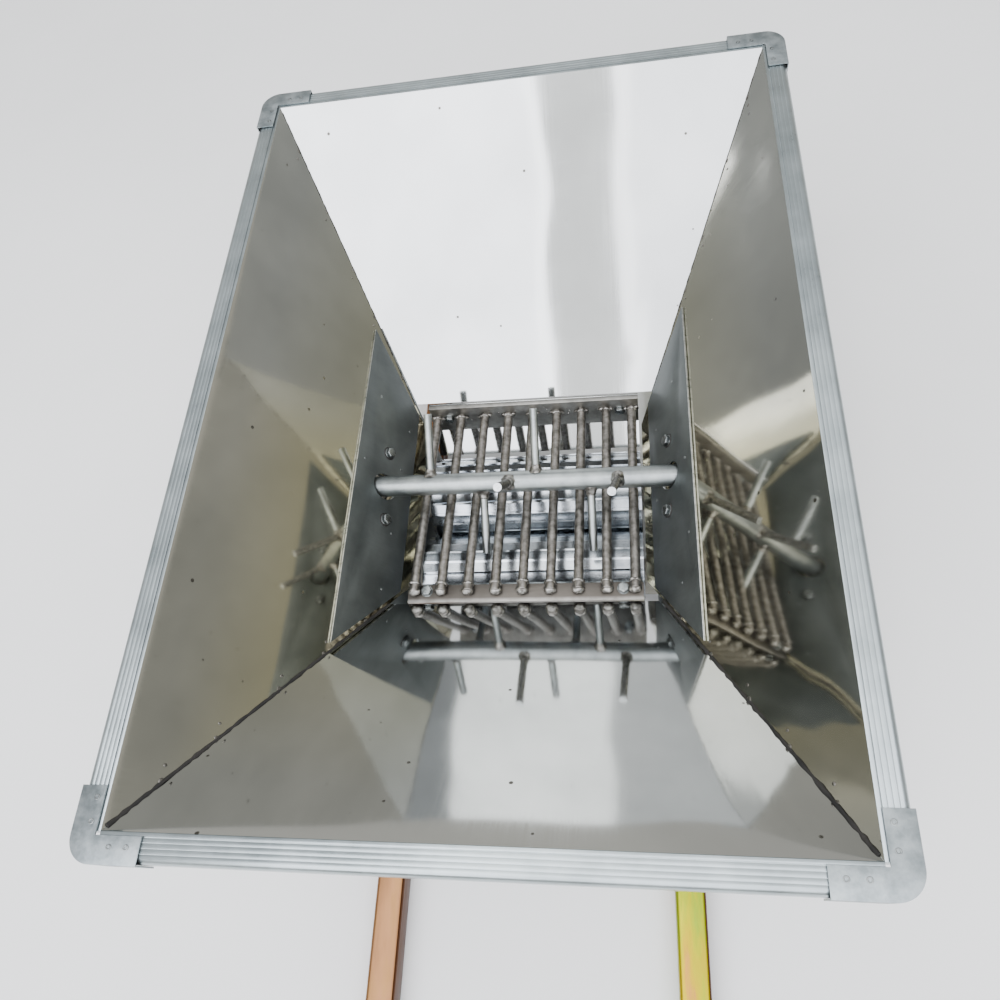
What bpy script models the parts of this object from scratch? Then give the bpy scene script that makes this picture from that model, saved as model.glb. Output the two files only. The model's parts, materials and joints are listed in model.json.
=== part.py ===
"""Fruit crusher: a sheet hopper over a bar grate, a pegged agitator shaft and two fluted
rollers, carried by two long rails. Metres, +Z up, +Y to the back. The origin is on the
rails' underside, midway between them."""

from math import acos, atan2, cos, hypot, pi, radians, sin, tan

import bmesh
import bpy
from mathutils import Matrix, Vector

GAP = 0.0003  # left between two pieces that touch
ROUND = 32  # sides of a large round
SMALL_ROUND = 16  # sides of a small round

# Rails
RAIL_SIZE = 0.030
RAIL_LENGTH = 1.100
RAIL_WALL = 0.002
RAIL_CORNER = 0.004
CAP_PLUG = 0.015
CAP_HEAD = 0.003

# Rollers
ROLLER_RADIUS = 0.050
ROLLER_LENGTH = 0.2426
NIP_GAP = 0.004
NIP_Y = -0.0136
FLUTES = 24
FLUTE_STEP = 0.0020
FLUTE_LAND = 0.75  # share of a flute's pitch that is the flat
FLUTE_ROOT = 0.97  # share of a flute's pitch where its step ends
ROLLER_ABOVE_RAIL = 0.009
SHAFT_RADIUS = 0.010

# Side plates and the rollers' bearings
END_SPACE = 0.0154
PLATE = 0.004
PLATE_PAST_THROAT = 0.006  # how far a side plate reaches past the throat, front and back
PLATE_FOOT_RISE = 0.004
FLANGE_LENGTH = 0.070
BEARING_BOSS_RADIUS = 0.020
BEARING_SPIGOT_RADIUS = 0.016
BEARING_STAND_OUT = 0.003

# Gears, pulleys and belt
GEAR_TEETH = 26
GEAR_WIDTH = 0.012
GEAR_FROM_PLATE = 0.006
TOOTH_ADDENDUM = 0.90  # in modules
TOOTH_DEDENDUM = 1.20
TOOTH_BACKLASH = 0.0008
PRESSURE_ANGLE = radians(20)
PULLEY_WIDTH = 0.014
PULLEY_SPACE = 0.005
WALL_SPACE = 0.0015
ROLLER_PULLEY_RADIUS = 0.028  # pitch radii
AGITATOR_PULLEY_RADIUS = 0.042
PULLEY_LIP = 0.003
BELT_TOP = 0.010
BELT_BOTTOM = 0.006
BELT_HEIGHT = 0.006

# Crank
CRANK_ARM = 0.145
ARM_WIDTH = 0.026
ARM_THICKNESS = 0.005
ARM_SPACE = 0.0035
HUB_RADIUS = 0.017
HUB_LENGTH = 0.012
PIN_RADIUS = 0.005
PIN_HEAD_RADIUS = 0.0085
PIN_HEAD = 0.004
PIN_END = 0.003
GRIP_RADIUS = 0.0130
GRIP_LENGTH = 0.074
GRIP_CLEARANCE = 0.0005
# The grip's outline: shares of its length, each with a share of its radius
GRIP_WAIST = 0.86
GRIP_SWELL = ((0.12, 0.97), (0.40, 1.0), (0.75, 0.93), (0.92, 1.0))

# Agitator
AGITATOR_ABOVE_ROLLERS = 0.072  # its axis above the rollers' tops
AGITATOR_Y = -0.005
AGITATOR_RADIUS = 0.011
PEG_RADIUS = 0.0042
PEG_REACH = 0.075
PEG_PHASE = radians(32)
PEG_STEP = radians(-90)
AGITATOR_HOLE_RADIUS = 0.0142
BLOCK_HEIGHT = 0.036
BLOCK_LENGTH = 0.110
BLOCK_OFFSET_Y = 0.002
BLOCK_STAND_OUT = 0.0225
COLLAR_RADIUS = 0.018
COLLAR_WIDTH = 0.008
SHAFT_END = 0.0015  # how far a shaft's plain end stands out of what it carries

# Grate
RODS = 9
ROD_PITCH = 0.0282
ROD_RADIUS = 0.00475
ROD_END_ABOVE = 0.011  # the rods' back ends, above the back strip's middle line
STRIP_THICKNESS = 0.005
STRIP_OVERHANG = 0.0080
FRONT_STRIP_WIDTH = 0.019
BACK_STRIP_HEIGHT = 0.0464
STRIP_ABOVE_ROLLERS = 0.044
BACK_STRIP_RISE = -0.0046

# Guides that lead the fruit from the hopper to the rollers
GUIDE_SHEET = 0.002
GUIDE_CLEARANCE = 0.0052
GUIDE_ANGLE = radians(24)
FRONT_GUIDE_OUT = 0.0114
BACK_GUIDE_OUT = 0.0236

# Hopper and rim
RIM_ABOVE_AGITATOR = 0.191
RIM_WIDTH = 0.550
RIM_LENGTH = 0.780
RIM_BAR = 0.020
RIM_HEIGHT = 0.022
RIM_WALL = 0.0016
RIM_EDGE_RADIUS = 0.005
SHEET = 0.0015
THROAT_SIDE_SPACE = 0.0026
THROAT_ABOVE_ROLLERS = 0.017
CORNER_LEG_X = 0.053
CORNER_LEG_Y = 0.050
CORNER_SHEET = 0.0012
STIFFENER = 0.0025
STIFFENER_DROP = 0.153
STIFFENER_BACK = 0.179
STIFFENER_FRONT = 0.189
STIFFENER_FOOT_BACK = 0.106
STIFFENER_FOOT_FRONT = 0.112
STIFFENER_FOOT_RISE = 0.020

# Fasteners that tie the side plates to the rails
RAIL_BOLT_RADIUS = 0.004
RAIL_BOLT_CLEARANCE = 0.0003
RAIL_BOLT_HEAD = 0.0065
RAIL_BOLT_HEAD_HEIGHT = 0.0053
RAIL_BOLT_FROM_END = 0.022

# Places worked out from the sizes above
RAIL_TOP = RAIL_SIZE
ROLLER_Z = RAIL_TOP + ROLLER_RADIUS + ROLLER_ABOVE_RAIL
ROLLER_TOP = ROLLER_Z + ROLLER_RADIUS
ROLLER_SPACING = 2 * ROLLER_RADIUS + NIP_GAP
FRONT_ROLLER_Y = NIP_Y - ROLLER_SPACING / 2
BACK_ROLLER_Y = NIP_Y + ROLLER_SPACING / 2
ROLLER_END = ROLLER_LENGTH / 2
WEB_INNER = ROLLER_END + END_SPACE
WEB_OUTER = WEB_INNER + PLATE
RAIL_X = WEB_OUTER + GAP + RAIL_SIZE / 2
AGITATOR_Z = ROLLER_TOP + AGITATOR_ABOVE_ROLLERS
RIM_TOP = AGITATOR_Z + RIM_ABOVE_AGITATOR
FRONT_STRIP_TOP = ROLLER_TOP + STRIP_ABOVE_ROLLERS
THROAT_FRONT = FRONT_ROLLER_Y - ROLLER_RADIUS - FRONT_GUIDE_OUT
BACK_STRIP_FACE = BACK_ROLLER_Y + ROLLER_RADIUS + BACK_GUIDE_OUT
BACK_STRIP_TOP = FRONT_STRIP_TOP + BACK_STRIP_RISE
THROAT_BACK = BACK_STRIP_FACE + STRIP_THICKNESS
THROAT_SIDE = ROLLER_END + THROAT_SIDE_SPACE
SIDE_FOOT_Z = ROLLER_TOP + THROAT_ABOVE_ROLLERS
MOUTH_X = RIM_WIDTH / 2 - RIM_BAR
MOUTH_Y = RIM_LENGTH / 2 - RIM_BAR
GRATE_HALF = (RODS - 1) / 2 * ROD_PITCH + STRIP_OVERHANG
# Each wall leans inwards by so much for each metre down.
SIDE_LEAN = (MOUTH_X - THROAT_SIDE) / (RIM_TOP - SIDE_FOOT_Z)
FRONT_LEAN = (MOUTH_Y + THROAT_FRONT) / (RIM_TOP - FRONT_STRIP_TOP)
BACK_LEAN = (MOUTH_Y - THROAT_BACK) / (RIM_TOP - BACK_STRIP_TOP)
SIDE_STRETCH = hypot(1, SIDE_LEAN)
GEAR_OUTER = WEB_OUTER + GEAR_FROM_PLATE + GEAR_WIDTH
BLOCK_OUTER = MOUTH_X - SIDE_LEAN * RIM_ABOVE_AGITATOR + BLOCK_STAND_OUT
AGITATOR_END = BLOCK_OUTER + 2 * GAP + COLLAR_WIDTH + SHAFT_END
# The pulleys clear the gears, the bearing block and the hopper wall that leans over them.
PULLEY_TOP = AGITATOR_Z + AGITATOR_PULLEY_RADIUS + PULLEY_LIP
WALL_BY_PULLEY = MOUTH_X - SIDE_LEAN * (RIM_TOP - PULLEY_TOP) + SHEET * SIDE_STRETCH
PULLEY_INNER = max(max(GEAR_OUTER, BLOCK_OUTER) + PULLEY_SPACE, WALL_BY_PULLEY + WALL_SPACE)
PULLEY_START = -(PULLEY_INNER + PULLEY_WIDTH)
# The crank's arm and its pin's head swing past the agitator shaft's end.
ARM_START = max(AGITATOR_END + PIN_HEAD, WEB_OUTER + HUB_LENGTH) + ARM_SPACE

MATERIALS = {
    "mirror_steel": ((0.62, 0.63, 0.62), 0.08, 1.0),
    "anodised_rim": ((0.60, 0.63, 0.64), 0.32, 1.0),
    "stamped_cap": ((0.52, 0.55, 0.56), 0.30, 1.0),
    "matte_steel": ((0.30, 0.32, 0.33), 0.48, 1.0),
    "rod_steel": ((0.32, 0.30, 0.27), 0.45, 1.0),
    "strip_steel": ((0.38, 0.36, 0.33), 0.42, 1.0),
    "satin_steel": ((0.55, 0.57, 0.56), 0.30, 1.0),
    "cast_aluminium": ((0.66, 0.69, 0.71), 0.28, 1.0),
    "zinc_yellow": ((0.60, 0.47, 0.24), 0.36, 1.0),
    "black_plastic": ((0.02, 0.02, 0.02), 0.50, 0.0),
    "white_nylon": ((0.78, 0.77, 0.72), 0.45, 0.0),
    "belt_rubber": ((0.02, 0.02, 0.022), 0.70, 0.0),
    "bolt_zinc": ((0.55, 0.56, 0.56), 0.32, 1.0),
}


def make_material(node, finish):
    """A Principled material of the node's own, in one of the named finishes."""
    colour, roughness, metallic = MATERIALS[finish]
    material = bpy.data.materials.new(node)
    material.use_nodes = True
    shader = material.node_tree.nodes["Principled BSDF"]
    shader.inputs["Base Color"].default_value = (*colour, 1)
    shader.inputs["Roughness"].default_value = roughness
    shader.inputs["Metallic"].default_value = metallic
    material.diffuse_color = (*colour, 1)
    return material


def add_object(name, bm, finish, place=(0, 0, 0), smooth=True):
    """An object at a place, made of a bmesh whose coordinates count from there."""
    bmesh.ops.recalc_face_normals(bm, faces=bm.faces)
    mesh = bpy.data.meshes.new(name)
    bm.to_mesh(mesh)
    bm.free()
    if smooth:
        mesh.shade_smooth()
        mesh.set_sharp_from_angle(angle=radians(30))
    ob = bpy.data.objects.new(name, mesh)
    ob.location = place
    bpy.context.collection.objects.link(ob)
    if finish:
        mesh.materials.append(make_material(name, finish))
    return ob


def along(axis, u, v, w):
    """The point (u, v) of a section drawn across an axis, at w along it."""
    return {"X": (w, u, v), "Y": (u, w, v), "Z": (u, v, w)}[axis]


def extruded(outline, holes, axis, start, end):
    """A bmesh of a section with holes, extruded along an axis from start to end."""
    bm = bmesh.new()
    for loop in (outline, *holes):
        points = [bm.verts.new(along(axis, u, v, start)) for u, v in loop]
        for first, second in zip(points, points[1:] + points[:1]):
            bm.edges.new((first, second))
    normal = Vector(along(axis, 0, 0, 1))
    bmesh.ops.triangle_fill(bm, use_beauty=True, edges=bm.edges[:], normal=normal)
    grown = bmesh.ops.extrude_face_region(bm, geom=bm.faces[:])
    moved = [v for v in grown["geom"] if isinstance(v, bmesh.types.BMVert)]
    bmesh.ops.translate(bm, verts=moved, vec=normal * (end - start))
    return bm


def circle(radius, sides=SMALL_ROUND, centre=(0, 0)):
    """The points of a round loop."""
    turns = [2 * pi * i / sides for i in range(sides)]
    return [(centre[0] + radius * cos(a), centre[1] + radius * sin(a)) for a in turns]


def arc(centre, radius, start, end, steps):
    """Points along an arc, both ends included."""
    turns = [start + (end - start) * i / steps for i in range(steps + 1)]
    return [(centre[0] + radius * cos(a), centre[1] + radius * sin(a)) for a in turns]


def rounded_square(size, radius, steps=3):
    """A square's outline with round corners."""
    reach = size / 2 - radius
    points = []
    for corner, (x, y) in enumerate(((1, 1), (-1, 1), (-1, -1), (1, -1))):
        start = corner * pi / 2
        points += arc((x * reach, y * reach), radius, start, start + pi / 2, steps)
    return points


def turned(profile, sides):
    """A bmesh turned about X from (x, radius) pairs that close on themselves."""
    bm = bmesh.new()
    points = [bm.verts.new((x, 0, radius)) for x, radius in profile]
    edges = [bm.edges.new(pair) for pair in zip(points, points[1:] + points[:1])]
    geometry = points + edges
    bmesh.ops.spin(
        bm,
        geom=geometry,
        cent=(0, 0, 0),
        axis=(1, 0, 0),
        angle=2 * pi,
        steps=sides,
        use_merge=True,
    )
    bmesh.ops.remove_doubles(bm, verts=bm.verts, dist=0.000001)
    return bm


def cylinder(start, end, radius, sides=SMALL_ROUND):
    """A bmesh of a round bar between two points."""
    start, end = Vector(start), Vector(end)
    turn = (end - start).to_track_quat("Z", "Y").to_matrix().to_4x4()
    bm = bmesh.new()
    bmesh.ops.create_cone(
        bm,
        cap_ends=True,
        segments=sides,
        radius1=radius,
        radius2=radius,
        depth=(end - start).length,
        matrix=Matrix.Translation((start + end) / 2) @ turn,
    )
    return bm


def make_cutter(name, bm, place=(0, 0, 0)):
    """An object that only cuts others."""
    ob = add_object(name, bm, None, place, smooth=False)
    ob.hide_render = True
    ob.display_type = "WIRE"
    return ob


def boolean(ob, other, operation="DIFFERENCE"):
    """Cuts or joins one object with another."""
    modifier = ob.modifiers.new(other.name, "BOOLEAN")
    modifier.operation = operation
    modifier.object = other
    modifier.solver = "EXACT"


def hexahedron(inner, outer):
    """A bmesh of a four-sided sheet between its inner and its outer corners."""
    bm = bmesh.new()
    near = [bm.verts.new(p) for p in inner]
    far = [bm.verts.new(p) for p in outer]
    bm.faces.new(near)
    bm.faces.new(far)
    for i in range(4):
        j = (i + 1) % 4
        bm.faces.new((near[i], near[j], far[j], far[i]))
    return bm


def side_wall_x(z, out=0.0):
    """The side walls' distance from the middle at a height, out by so much sheet."""
    return MOUTH_X - SIDE_LEAN * (RIM_TOP - z) + out * hypot(1, SIDE_LEAN)


def end_wall_y(z, end, out=0.0):
    """The front (-1) or back (1) wall's Y at a height, out by so much sheet."""
    lean = BACK_LEAN if end > 0 else FRONT_LEAN
    return end * (MOUTH_Y - lean * (RIM_TOP - z) + out * hypot(1, lean))


def sheet_top():
    """The height at which every wall's outer side is still clear of its rim bar."""
    drops = [(SHEET * hypot(1, lean) + GAP) / lean for lean in (SIDE_LEAN, FRONT_LEAN, BACK_LEAN)]
    return RIM_TOP - max(drops)


def build_rails():
    """Two square tubes along Y, bored for the bolts, with a plug in each end."""
    half = RAIL_LENGTH / 2
    outer = rounded_square(RAIL_SIZE, RAIL_CORNER)
    inner = rounded_square(RAIL_SIZE - 2 * RAIL_WALL, RAIL_CORNER - RAIL_WALL)
    plug = rounded_square(
        RAIL_SIZE - 2 * RAIL_WALL - 2 * GAP, RAIL_CORNER - RAIL_WALL
    )
    rails = []
    for side, hand in ((-1, "left"), (1, "right")):
        place = (side * RAIL_X, 0, RAIL_SIZE / 2)
        bm = extruded(outer, [inner], "Y", -half, half)
        rails.append(add_object(f"rail_{hand}", bm, "zinc_yellow", place))
        for end, word in ((-1, "front"), (1, "back")):
            bm = extruded(outer, [], "Y", end * (half + GAP), end * (half + CAP_HEAD))
            name = f"rail_cap_{hand}_{word}"
            cap = add_object(name, bm, "black_plastic", place)
            start = end * (half - CAP_PLUG)
            bm = extruded(plug, [], "Y", start, end * (half + CAP_HEAD / 2))
            boolean(cap, make_cutter(f"{name}_plug", bm, place), "UNION")
    return rails


def build_side_plates():
    """A bent plate on each side: its web bolts to the rail and holds the rollers'
    bearings, and its flange leans out along the hopper's side wall."""
    front = THROAT_FRONT - PLATE_PAST_THROAT
    back = THROAT_BACK + PLATE_PAST_THROAT
    plates = []
    # The flange's inner side lies just off the wall's outer side.
    inner_out = SHEET + GAP
    bend_in_z = RIM_TOP - (side_wall_x(RIM_TOP, inner_out) - WEB_INNER) / SIDE_LEAN
    outer_out = inner_out + PLATE
    bend_out_z = RIM_TOP - (side_wall_x(RIM_TOP, outer_out) - WEB_OUTER) / SIDE_LEAN
    top_z = bend_in_z + FLANGE_LENGTH / SIDE_STRETCH
    drop = PLATE * SIDE_LEAN / SIDE_STRETCH
    section = [
        (WEB_INNER, PLATE_FOOT_RISE),
        (WEB_OUTER, PLATE_FOOT_RISE),
        (WEB_OUTER, bend_out_z),
        (side_wall_x(top_z - drop, outer_out), top_z - drop),
        (side_wall_x(top_z, inner_out), top_z),
        (WEB_INNER, bend_in_z),
    ]
    for side, hand in ((-1, "left"), (1, "right")):
        outline = [(side * x, z) for x, z in section]
        bm = extruded(outline, [], "Y", front, back)
        plates.append(add_object(f"side_plate_{hand}", bm, "matte_steel", smooth=False))
    return plates, front, back


def build_rail_bolts(rails, plates, front, back):
    """Hex bolts through each rail and side plate, with a nut inside."""
    z = RAIL_SIZE / 2
    hole = RAIL_BOLT_RADIUS + RAIL_BOLT_CLEARANCE
    reach = RAIL_X + RAIL_SIZE
    inner = WEB_INNER - GAP
    outer = RAIL_X + RAIL_SIZE / 2 + GAP
    for word, y in (("front", front + RAIL_BOLT_FROM_END), ("back", back - RAIL_BOLT_FROM_END)):
        bm = cylinder((-reach, 0, 0), (reach, 0, 0), hole)
        cutter = make_cutter(f"rail_bolt_hole_{word}", bm, (0, y, z))
        for ob in (*rails, *plates):
            boolean(ob, cutter)
        for side, hand in ((-1, "left"), (1, "right")):
            profile = [
                (inner - RAIL_BOLT_HEAD_HEIGHT, 0),
                (inner - RAIL_BOLT_HEAD_HEIGHT, RAIL_BOLT_HEAD),
                (inner, RAIL_BOLT_HEAD),
                (inner, RAIL_BOLT_RADIUS),
                (outer, RAIL_BOLT_RADIUS),
                (outer, RAIL_BOLT_HEAD),
                (outer + RAIL_BOLT_HEAD_HEIGHT, RAIL_BOLT_HEAD),
                (outer + RAIL_BOLT_HEAD_HEIGHT, 0),
            ]
            bm = turned_solid([(side * x, radius) for x, radius in profile], 6)
            name = f"rail_bolt_{hand}_{word}"
            add_object(name, bm, "bolt_zinc", (0, y, z), smooth=False)


def turned_solid(profile, sides):
    """A bmesh turned about X from a profile that starts and ends on the axis."""
    bm = turned(profile[1:-1], sides)
    for x, radius in (profile[1], profile[-2]):
        ring = [v for v in bm.verts if near_ring(v.co, x, radius)]
        ring.sort(key=lambda v: atan2(v.co.z, v.co.y))
        bm.faces.new(ring)
    inside = [f for f in bm.faces if spans_ends(f, profile[1], profile[-2])]
    bmesh.ops.delete(bm, geom=inside, context="FACES_ONLY")
    return bm


def near_ring(point, x, radius):
    """True for a point on the ring at x with this radius."""
    return abs(point.x - x) < 0.00001 and abs(hypot(point.y, point.z) - radius) < 0.00001


def spans_ends(face, first, last):
    """True for the faces that the turned profile closed itself with."""
    if len(face.verts) != 4:
        return False
    ends = [near_ring(v.co, *first) for v in face.verts]
    others = [near_ring(v.co, *last) for v in face.verts]
    return sum(ends) == 2 and sum(others) == 2


def build_bearings(plates):
    """A flanged nylon bush at each end of each roller, held in its side plate."""
    for word, y in (("front", FRONT_ROLLER_Y), ("back", BACK_ROLLER_Y)):
        reach = WEB_OUTER + RAIL_SIZE
        bm = cylinder((-reach, 0, 0), (reach, 0, 0), BEARING_SPIGOT_RADIUS + GAP, ROUND)
        cutter = make_cutter(f"bearing_hole_{word}", bm, (0, y, ROLLER_Z))
        for side, (hand, plate) in zip((-1, 1), zip(("left", "right"), plates)):
            boolean(plate, cutter)
            profile = [
                (ROLLER_END + 2 * GAP, SHAFT_RADIUS + GAP),
                (ROLLER_END + 2 * GAP, BEARING_BOSS_RADIUS),
                (WEB_INNER - GAP, BEARING_BOSS_RADIUS),
                (WEB_INNER - GAP, BEARING_SPIGOT_RADIUS),
                (WEB_OUTER + BEARING_STAND_OUT, BEARING_SPIGOT_RADIUS),
                (WEB_OUTER + BEARING_STAND_OUT, SHAFT_RADIUS + GAP),
            ]
            bm = turned([(side * x, radius) for x, radius in profile], ROUND)
            name = f"roller_bearing_{word}_{hand}"
            add_object(name, bm, "white_nylon", (0, y, ROLLER_Z))


def flute_outline():
    """The roller's section: flats that each end in a small saw-tooth step."""
    pitch = 2 * pi / FLUTES
    root = ROLLER_RADIUS - FLUTE_STEP
    points = []
    for i in range(FLUTES):
        start = i * pitch
        steps = ((0.0, ROLLER_RADIUS), (FLUTE_LAND, root + FLUTE_STEP / 2), (FLUTE_ROOT, root))
        for share, radius in steps:
            angle = start + share * pitch
            points.append((radius * cos(angle), radius * sin(angle)))
    return points


def involute_gear(teeth, pitch_radius):
    """A spur gear's outline, with a tooth centred on the first direction."""
    module = 2 * pitch_radius / teeth
    base = pitch_radius * cos(PRESSURE_ANGLE)
    tip = pitch_radius + TOOTH_ADDENDUM * module
    root = pitch_radius - TOOTH_DEDENDUM * module
    thickness = pi * module / 2 - TOOTH_BACKLASH
    spread = thickness / (2 * pitch_radius) + tan(PRESSURE_ANGLE) - PRESSURE_ANGLE
    flank = []
    for radius in (max(base, root), pitch_radius, tip):
        roll = acos(min(1, base / radius))
        flank.append((radius, spread - (tan(roll) - roll)))
    points = []
    for i in range(teeth):
        middle = 2 * pi * i / teeth
        rise = [(root, -flank[0][1])] + [(r, -a) for r, a in flank]
        fall = [(r, a) for r, a in reversed(flank)] + [(root, flank[0][1])]
        for radius, angle in rise + fall:
            turn = middle + angle
            points.append((radius * cos(turn), radius * sin(turn)))
    return points


def pulley_profile(pitch_radius, start, bore):
    """A V-belt pulley's section as (x, radius) pairs, growing outwards from start."""
    outer = pitch_radius + PULLEY_LIP
    floor = pitch_radius - BELT_HEIGHT
    slope = (BELT_TOP - BELT_BOTTOM) / 2 / BELT_HEIGHT
    middle = start + PULLEY_WIDTH / 2
    half_floor = BELT_BOTTOM / 2 - slope * (BELT_HEIGHT / 2) + GAP * 1.5
    half_mouth = half_floor + slope * (outer - floor)
    return [
        (start, bore),
        (start, outer),
        (middle - half_mouth, outer),
        (middle - half_floor, floor),
        (middle + half_floor, floor),
        (middle + half_mouth, outer),
        (start + PULLEY_WIDTH, outer),
        (start + PULLEY_WIDTH, bore),
    ]


def build_roller(word, y, phase):
    """A fluted roller on its shaft, with its gear at the left end."""
    place = (0, y, ROLLER_Z)
    bore = circle(SHAFT_RADIUS + GAP, ROUND)
    bm = extruded(flute_outline(), [bore], "X", -ROLLER_END, ROLLER_END)
    if word == "back":
        bmesh.ops.scale(bm, vec=(1, -1, 1), verts=bm.verts)
    add_object(f"roller_{word}", bm, "cast_aluminium", place)
    teeth = involute_gear(GEAR_TEETH, ROLLER_SPACING / 2)
    bm = extruded(teeth, [bore], "X", -GEAR_OUTER, GEAR_WIDTH - GEAR_OUTER)
    bmesh.ops.rotate(bm, verts=bm.verts, cent=(0, 0, 0), matrix=Matrix.Rotation(phase, 3, "X"))
    add_object(f"gear_{word}", bm, "white_nylon", place)


def build_rollers():
    """Both rollers. The gears mesh on the line between them: the front one shows it a
    tooth, and the back one a space."""
    build_roller("front", FRONT_ROLLER_Y, 0)
    build_roller("back", BACK_ROLLER_Y, pi + pi / GEAR_TEETH)
    right = WEB_OUTER + BEARING_STAND_OUT + SHAFT_END
    bm = cylinder((-GEAR_OUTER - SHAFT_END, 0, 0), (right, 0, 0), SHAFT_RADIUS, ROUND)
    add_object("shaft_back", bm, "satin_steel", (0, BACK_ROLLER_Y, ROLLER_Z))
    place = (0, FRONT_ROLLER_Y, ROLLER_Z)
    right = ARM_START + ARM_THICKNESS + SHAFT_END
    bm = cylinder((PULLEY_START - SHAFT_END, 0, 0), (right, 0, 0), SHAFT_RADIUS, ROUND)
    add_object("shaft_front", bm, "satin_steel", place)
    profile = pulley_profile(ROLLER_PULLEY_RADIUS, PULLEY_START, SHAFT_RADIUS + GAP)
    add_object("pulley_roller", turned(profile, ROUND), "cast_aluminium", place)


def build_belt():
    """The belt's loop round both pulleys, a V section swept in the Y-Z plane."""
    first = Vector((FRONT_ROLLER_Y, ROLLER_Z))
    second = Vector((AGITATOR_Y, AGITATOR_Z))
    r1, r2 = ROLLER_PULLEY_RADIUS, AGITATOR_PULLEY_RADIUS
    between = second - first
    heading = atan2(between.y, between.x)
    lean = acos((r1 - r2) / between.length)
    steps = ROUND // 2
    path = arc_normals(first, r1, heading + lean, heading + 2 * pi - lean, steps)
    path += arc_normals(second, r2, heading - lean, heading + lean, steps)
    middle = PULLEY_START + PULLEY_WIDTH / 2
    top, foot = BELT_HEIGHT / 2, -BELT_HEIGHT / 2
    section = [
        (-BELT_TOP / 2, top),
        (BELT_TOP / 2, top),
        (BELT_BOTTOM / 2, foot),
        (-BELT_BOTTOM / 2, foot),
    ]
    bm = bmesh.new()
    rings = []
    for point, normal in path:
        ring = []
        for across, out in section:
            spot = point + normal * out
            ring.append(bm.verts.new((middle + across, spot.x, spot.y)))
        rings.append(ring)
    for ring, following in zip(rings, rings[1:] + rings[:1]):
        for i in range(4):
            j = (i + 1) % 4
            bm.faces.new((ring[i], ring[j], following[j], following[i]))
    add_object("belt", bm, "belt_rubber")


def arc_normals(centre, radius, start, end, steps):
    """Points of an arc as vectors, each with its outward direction."""
    result = []
    for i in range(steps + 1):
        angle = start + (end - start) * i / steps
        normal = Vector((cos(angle), sin(angle)))
        result.append((centre + normal * radius, normal))
    return result


def build_crank():
    """The crank arm on the front roller's right end, its pin and its turning grip."""
    place = (0, FRONT_ROLLER_Y, ROLLER_Z)
    half = ARM_WIDTH / 2
    outline = arc((0, 0), half, -pi / 2, pi / 2, 8)
    outline += arc((-CRANK_ARM, 0), half, pi / 2, 3 * pi / 2, 8)
    holes = [circle(SHAFT_RADIUS + GAP, ROUND), circle(PIN_RADIUS + GAP, SMALL_ROUND, (-CRANK_ARM, 0))]
    bm = extruded(outline, holes, "X", ARM_START, ARM_START + ARM_THICKNESS)
    add_object("crank_arm", bm, "bolt_zinc", place)
    inner, hub_end = ARM_START - HUB_LENGTH, ARM_START - GAP
    profile = [
        (inner, SHAFT_RADIUS + GAP),
        (inner, HUB_RADIUS),
        (hub_end, HUB_RADIUS),
        (hub_end, SHAFT_RADIUS + GAP),
    ]
    add_object("crank_hub", turned(profile, ROUND), "bolt_zinc", place)
    pin_place = (0, FRONT_ROLLER_Y - CRANK_ARM, ROLLER_Z)
    back = ARM_START - GAP
    grip_start = ARM_START + ARM_THICKNESS + 2 * GAP
    grip_end = grip_start + GRIP_LENGTH
    pin_end = grip_end + GRIP_CLEARANCE
    profile = [
        (back - PIN_HEAD, 0),
        (back - PIN_HEAD, PIN_HEAD_RADIUS),
        (back, PIN_HEAD_RADIUS),
        (back, PIN_RADIUS),
        (pin_end, PIN_RADIUS),
        (pin_end, PIN_HEAD_RADIUS),
        (pin_end + PIN_END, PIN_HEAD_RADIUS),
        (pin_end + PIN_END, 0),
    ]
    add_object("crank_pin", turned_solid(profile, SMALL_ROUND), "bolt_zinc", pin_place)
    bore = PIN_RADIUS + GRIP_CLEARANCE
    waist = GRIP_RADIUS * GRIP_WAIST
    profile = [(grip_start, bore), (grip_start, waist)]
    for along, across in GRIP_SWELL:
        profile.append((grip_start + GRIP_LENGTH * along, GRIP_RADIUS * across))
    profile += [(grip_end, waist), (grip_end, bore)]
    add_object("grip", turned(profile, ROUND), "black_plastic", pin_place)


def build_agitator():
    """The agitator shaft with its welded pegs, its pulley and its stop collar."""
    place = (0, AGITATOR_Y, AGITATOR_Z)
    left = PULLEY_START - SHAFT_END
    bm = cylinder((left, 0, 0), (AGITATOR_END, 0, 0), AGITATOR_RADIUS, ROUND)
    shaft = add_object("agitator_shaft", bm, "satin_steel", place)
    for i in range(RODS - 1):
        x = (i - (RODS - 2) / 2) * ROD_PITCH
        angle = PEG_PHASE + PEG_STEP * i
        tip = (x, PEG_REACH * cos(angle), PEG_REACH * sin(angle))
        bm = cylinder((x, 0, 0), tip, PEG_RADIUS, 12)
        boolean(shaft, make_cutter(f"peg_{i + 1}", bm, place), "UNION")
    profile = pulley_profile(AGITATOR_PULLEY_RADIUS, PULLEY_START, AGITATOR_RADIUS + GAP)
    add_object("pulley_agitator", turned(profile, ROUND), "cast_aluminium", place)
    inner = BLOCK_OUTER + 2 * GAP
    profile = [
        (inner, AGITATOR_RADIUS + GAP),
        (inner, COLLAR_RADIUS),
        (inner + COLLAR_WIDTH, COLLAR_RADIUS),
        (inner + COLLAR_WIDTH, AGITATOR_RADIUS + GAP),
    ]
    add_object("agitator_collar", turned(profile, ROUND), "bolt_zinc", place)


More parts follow.
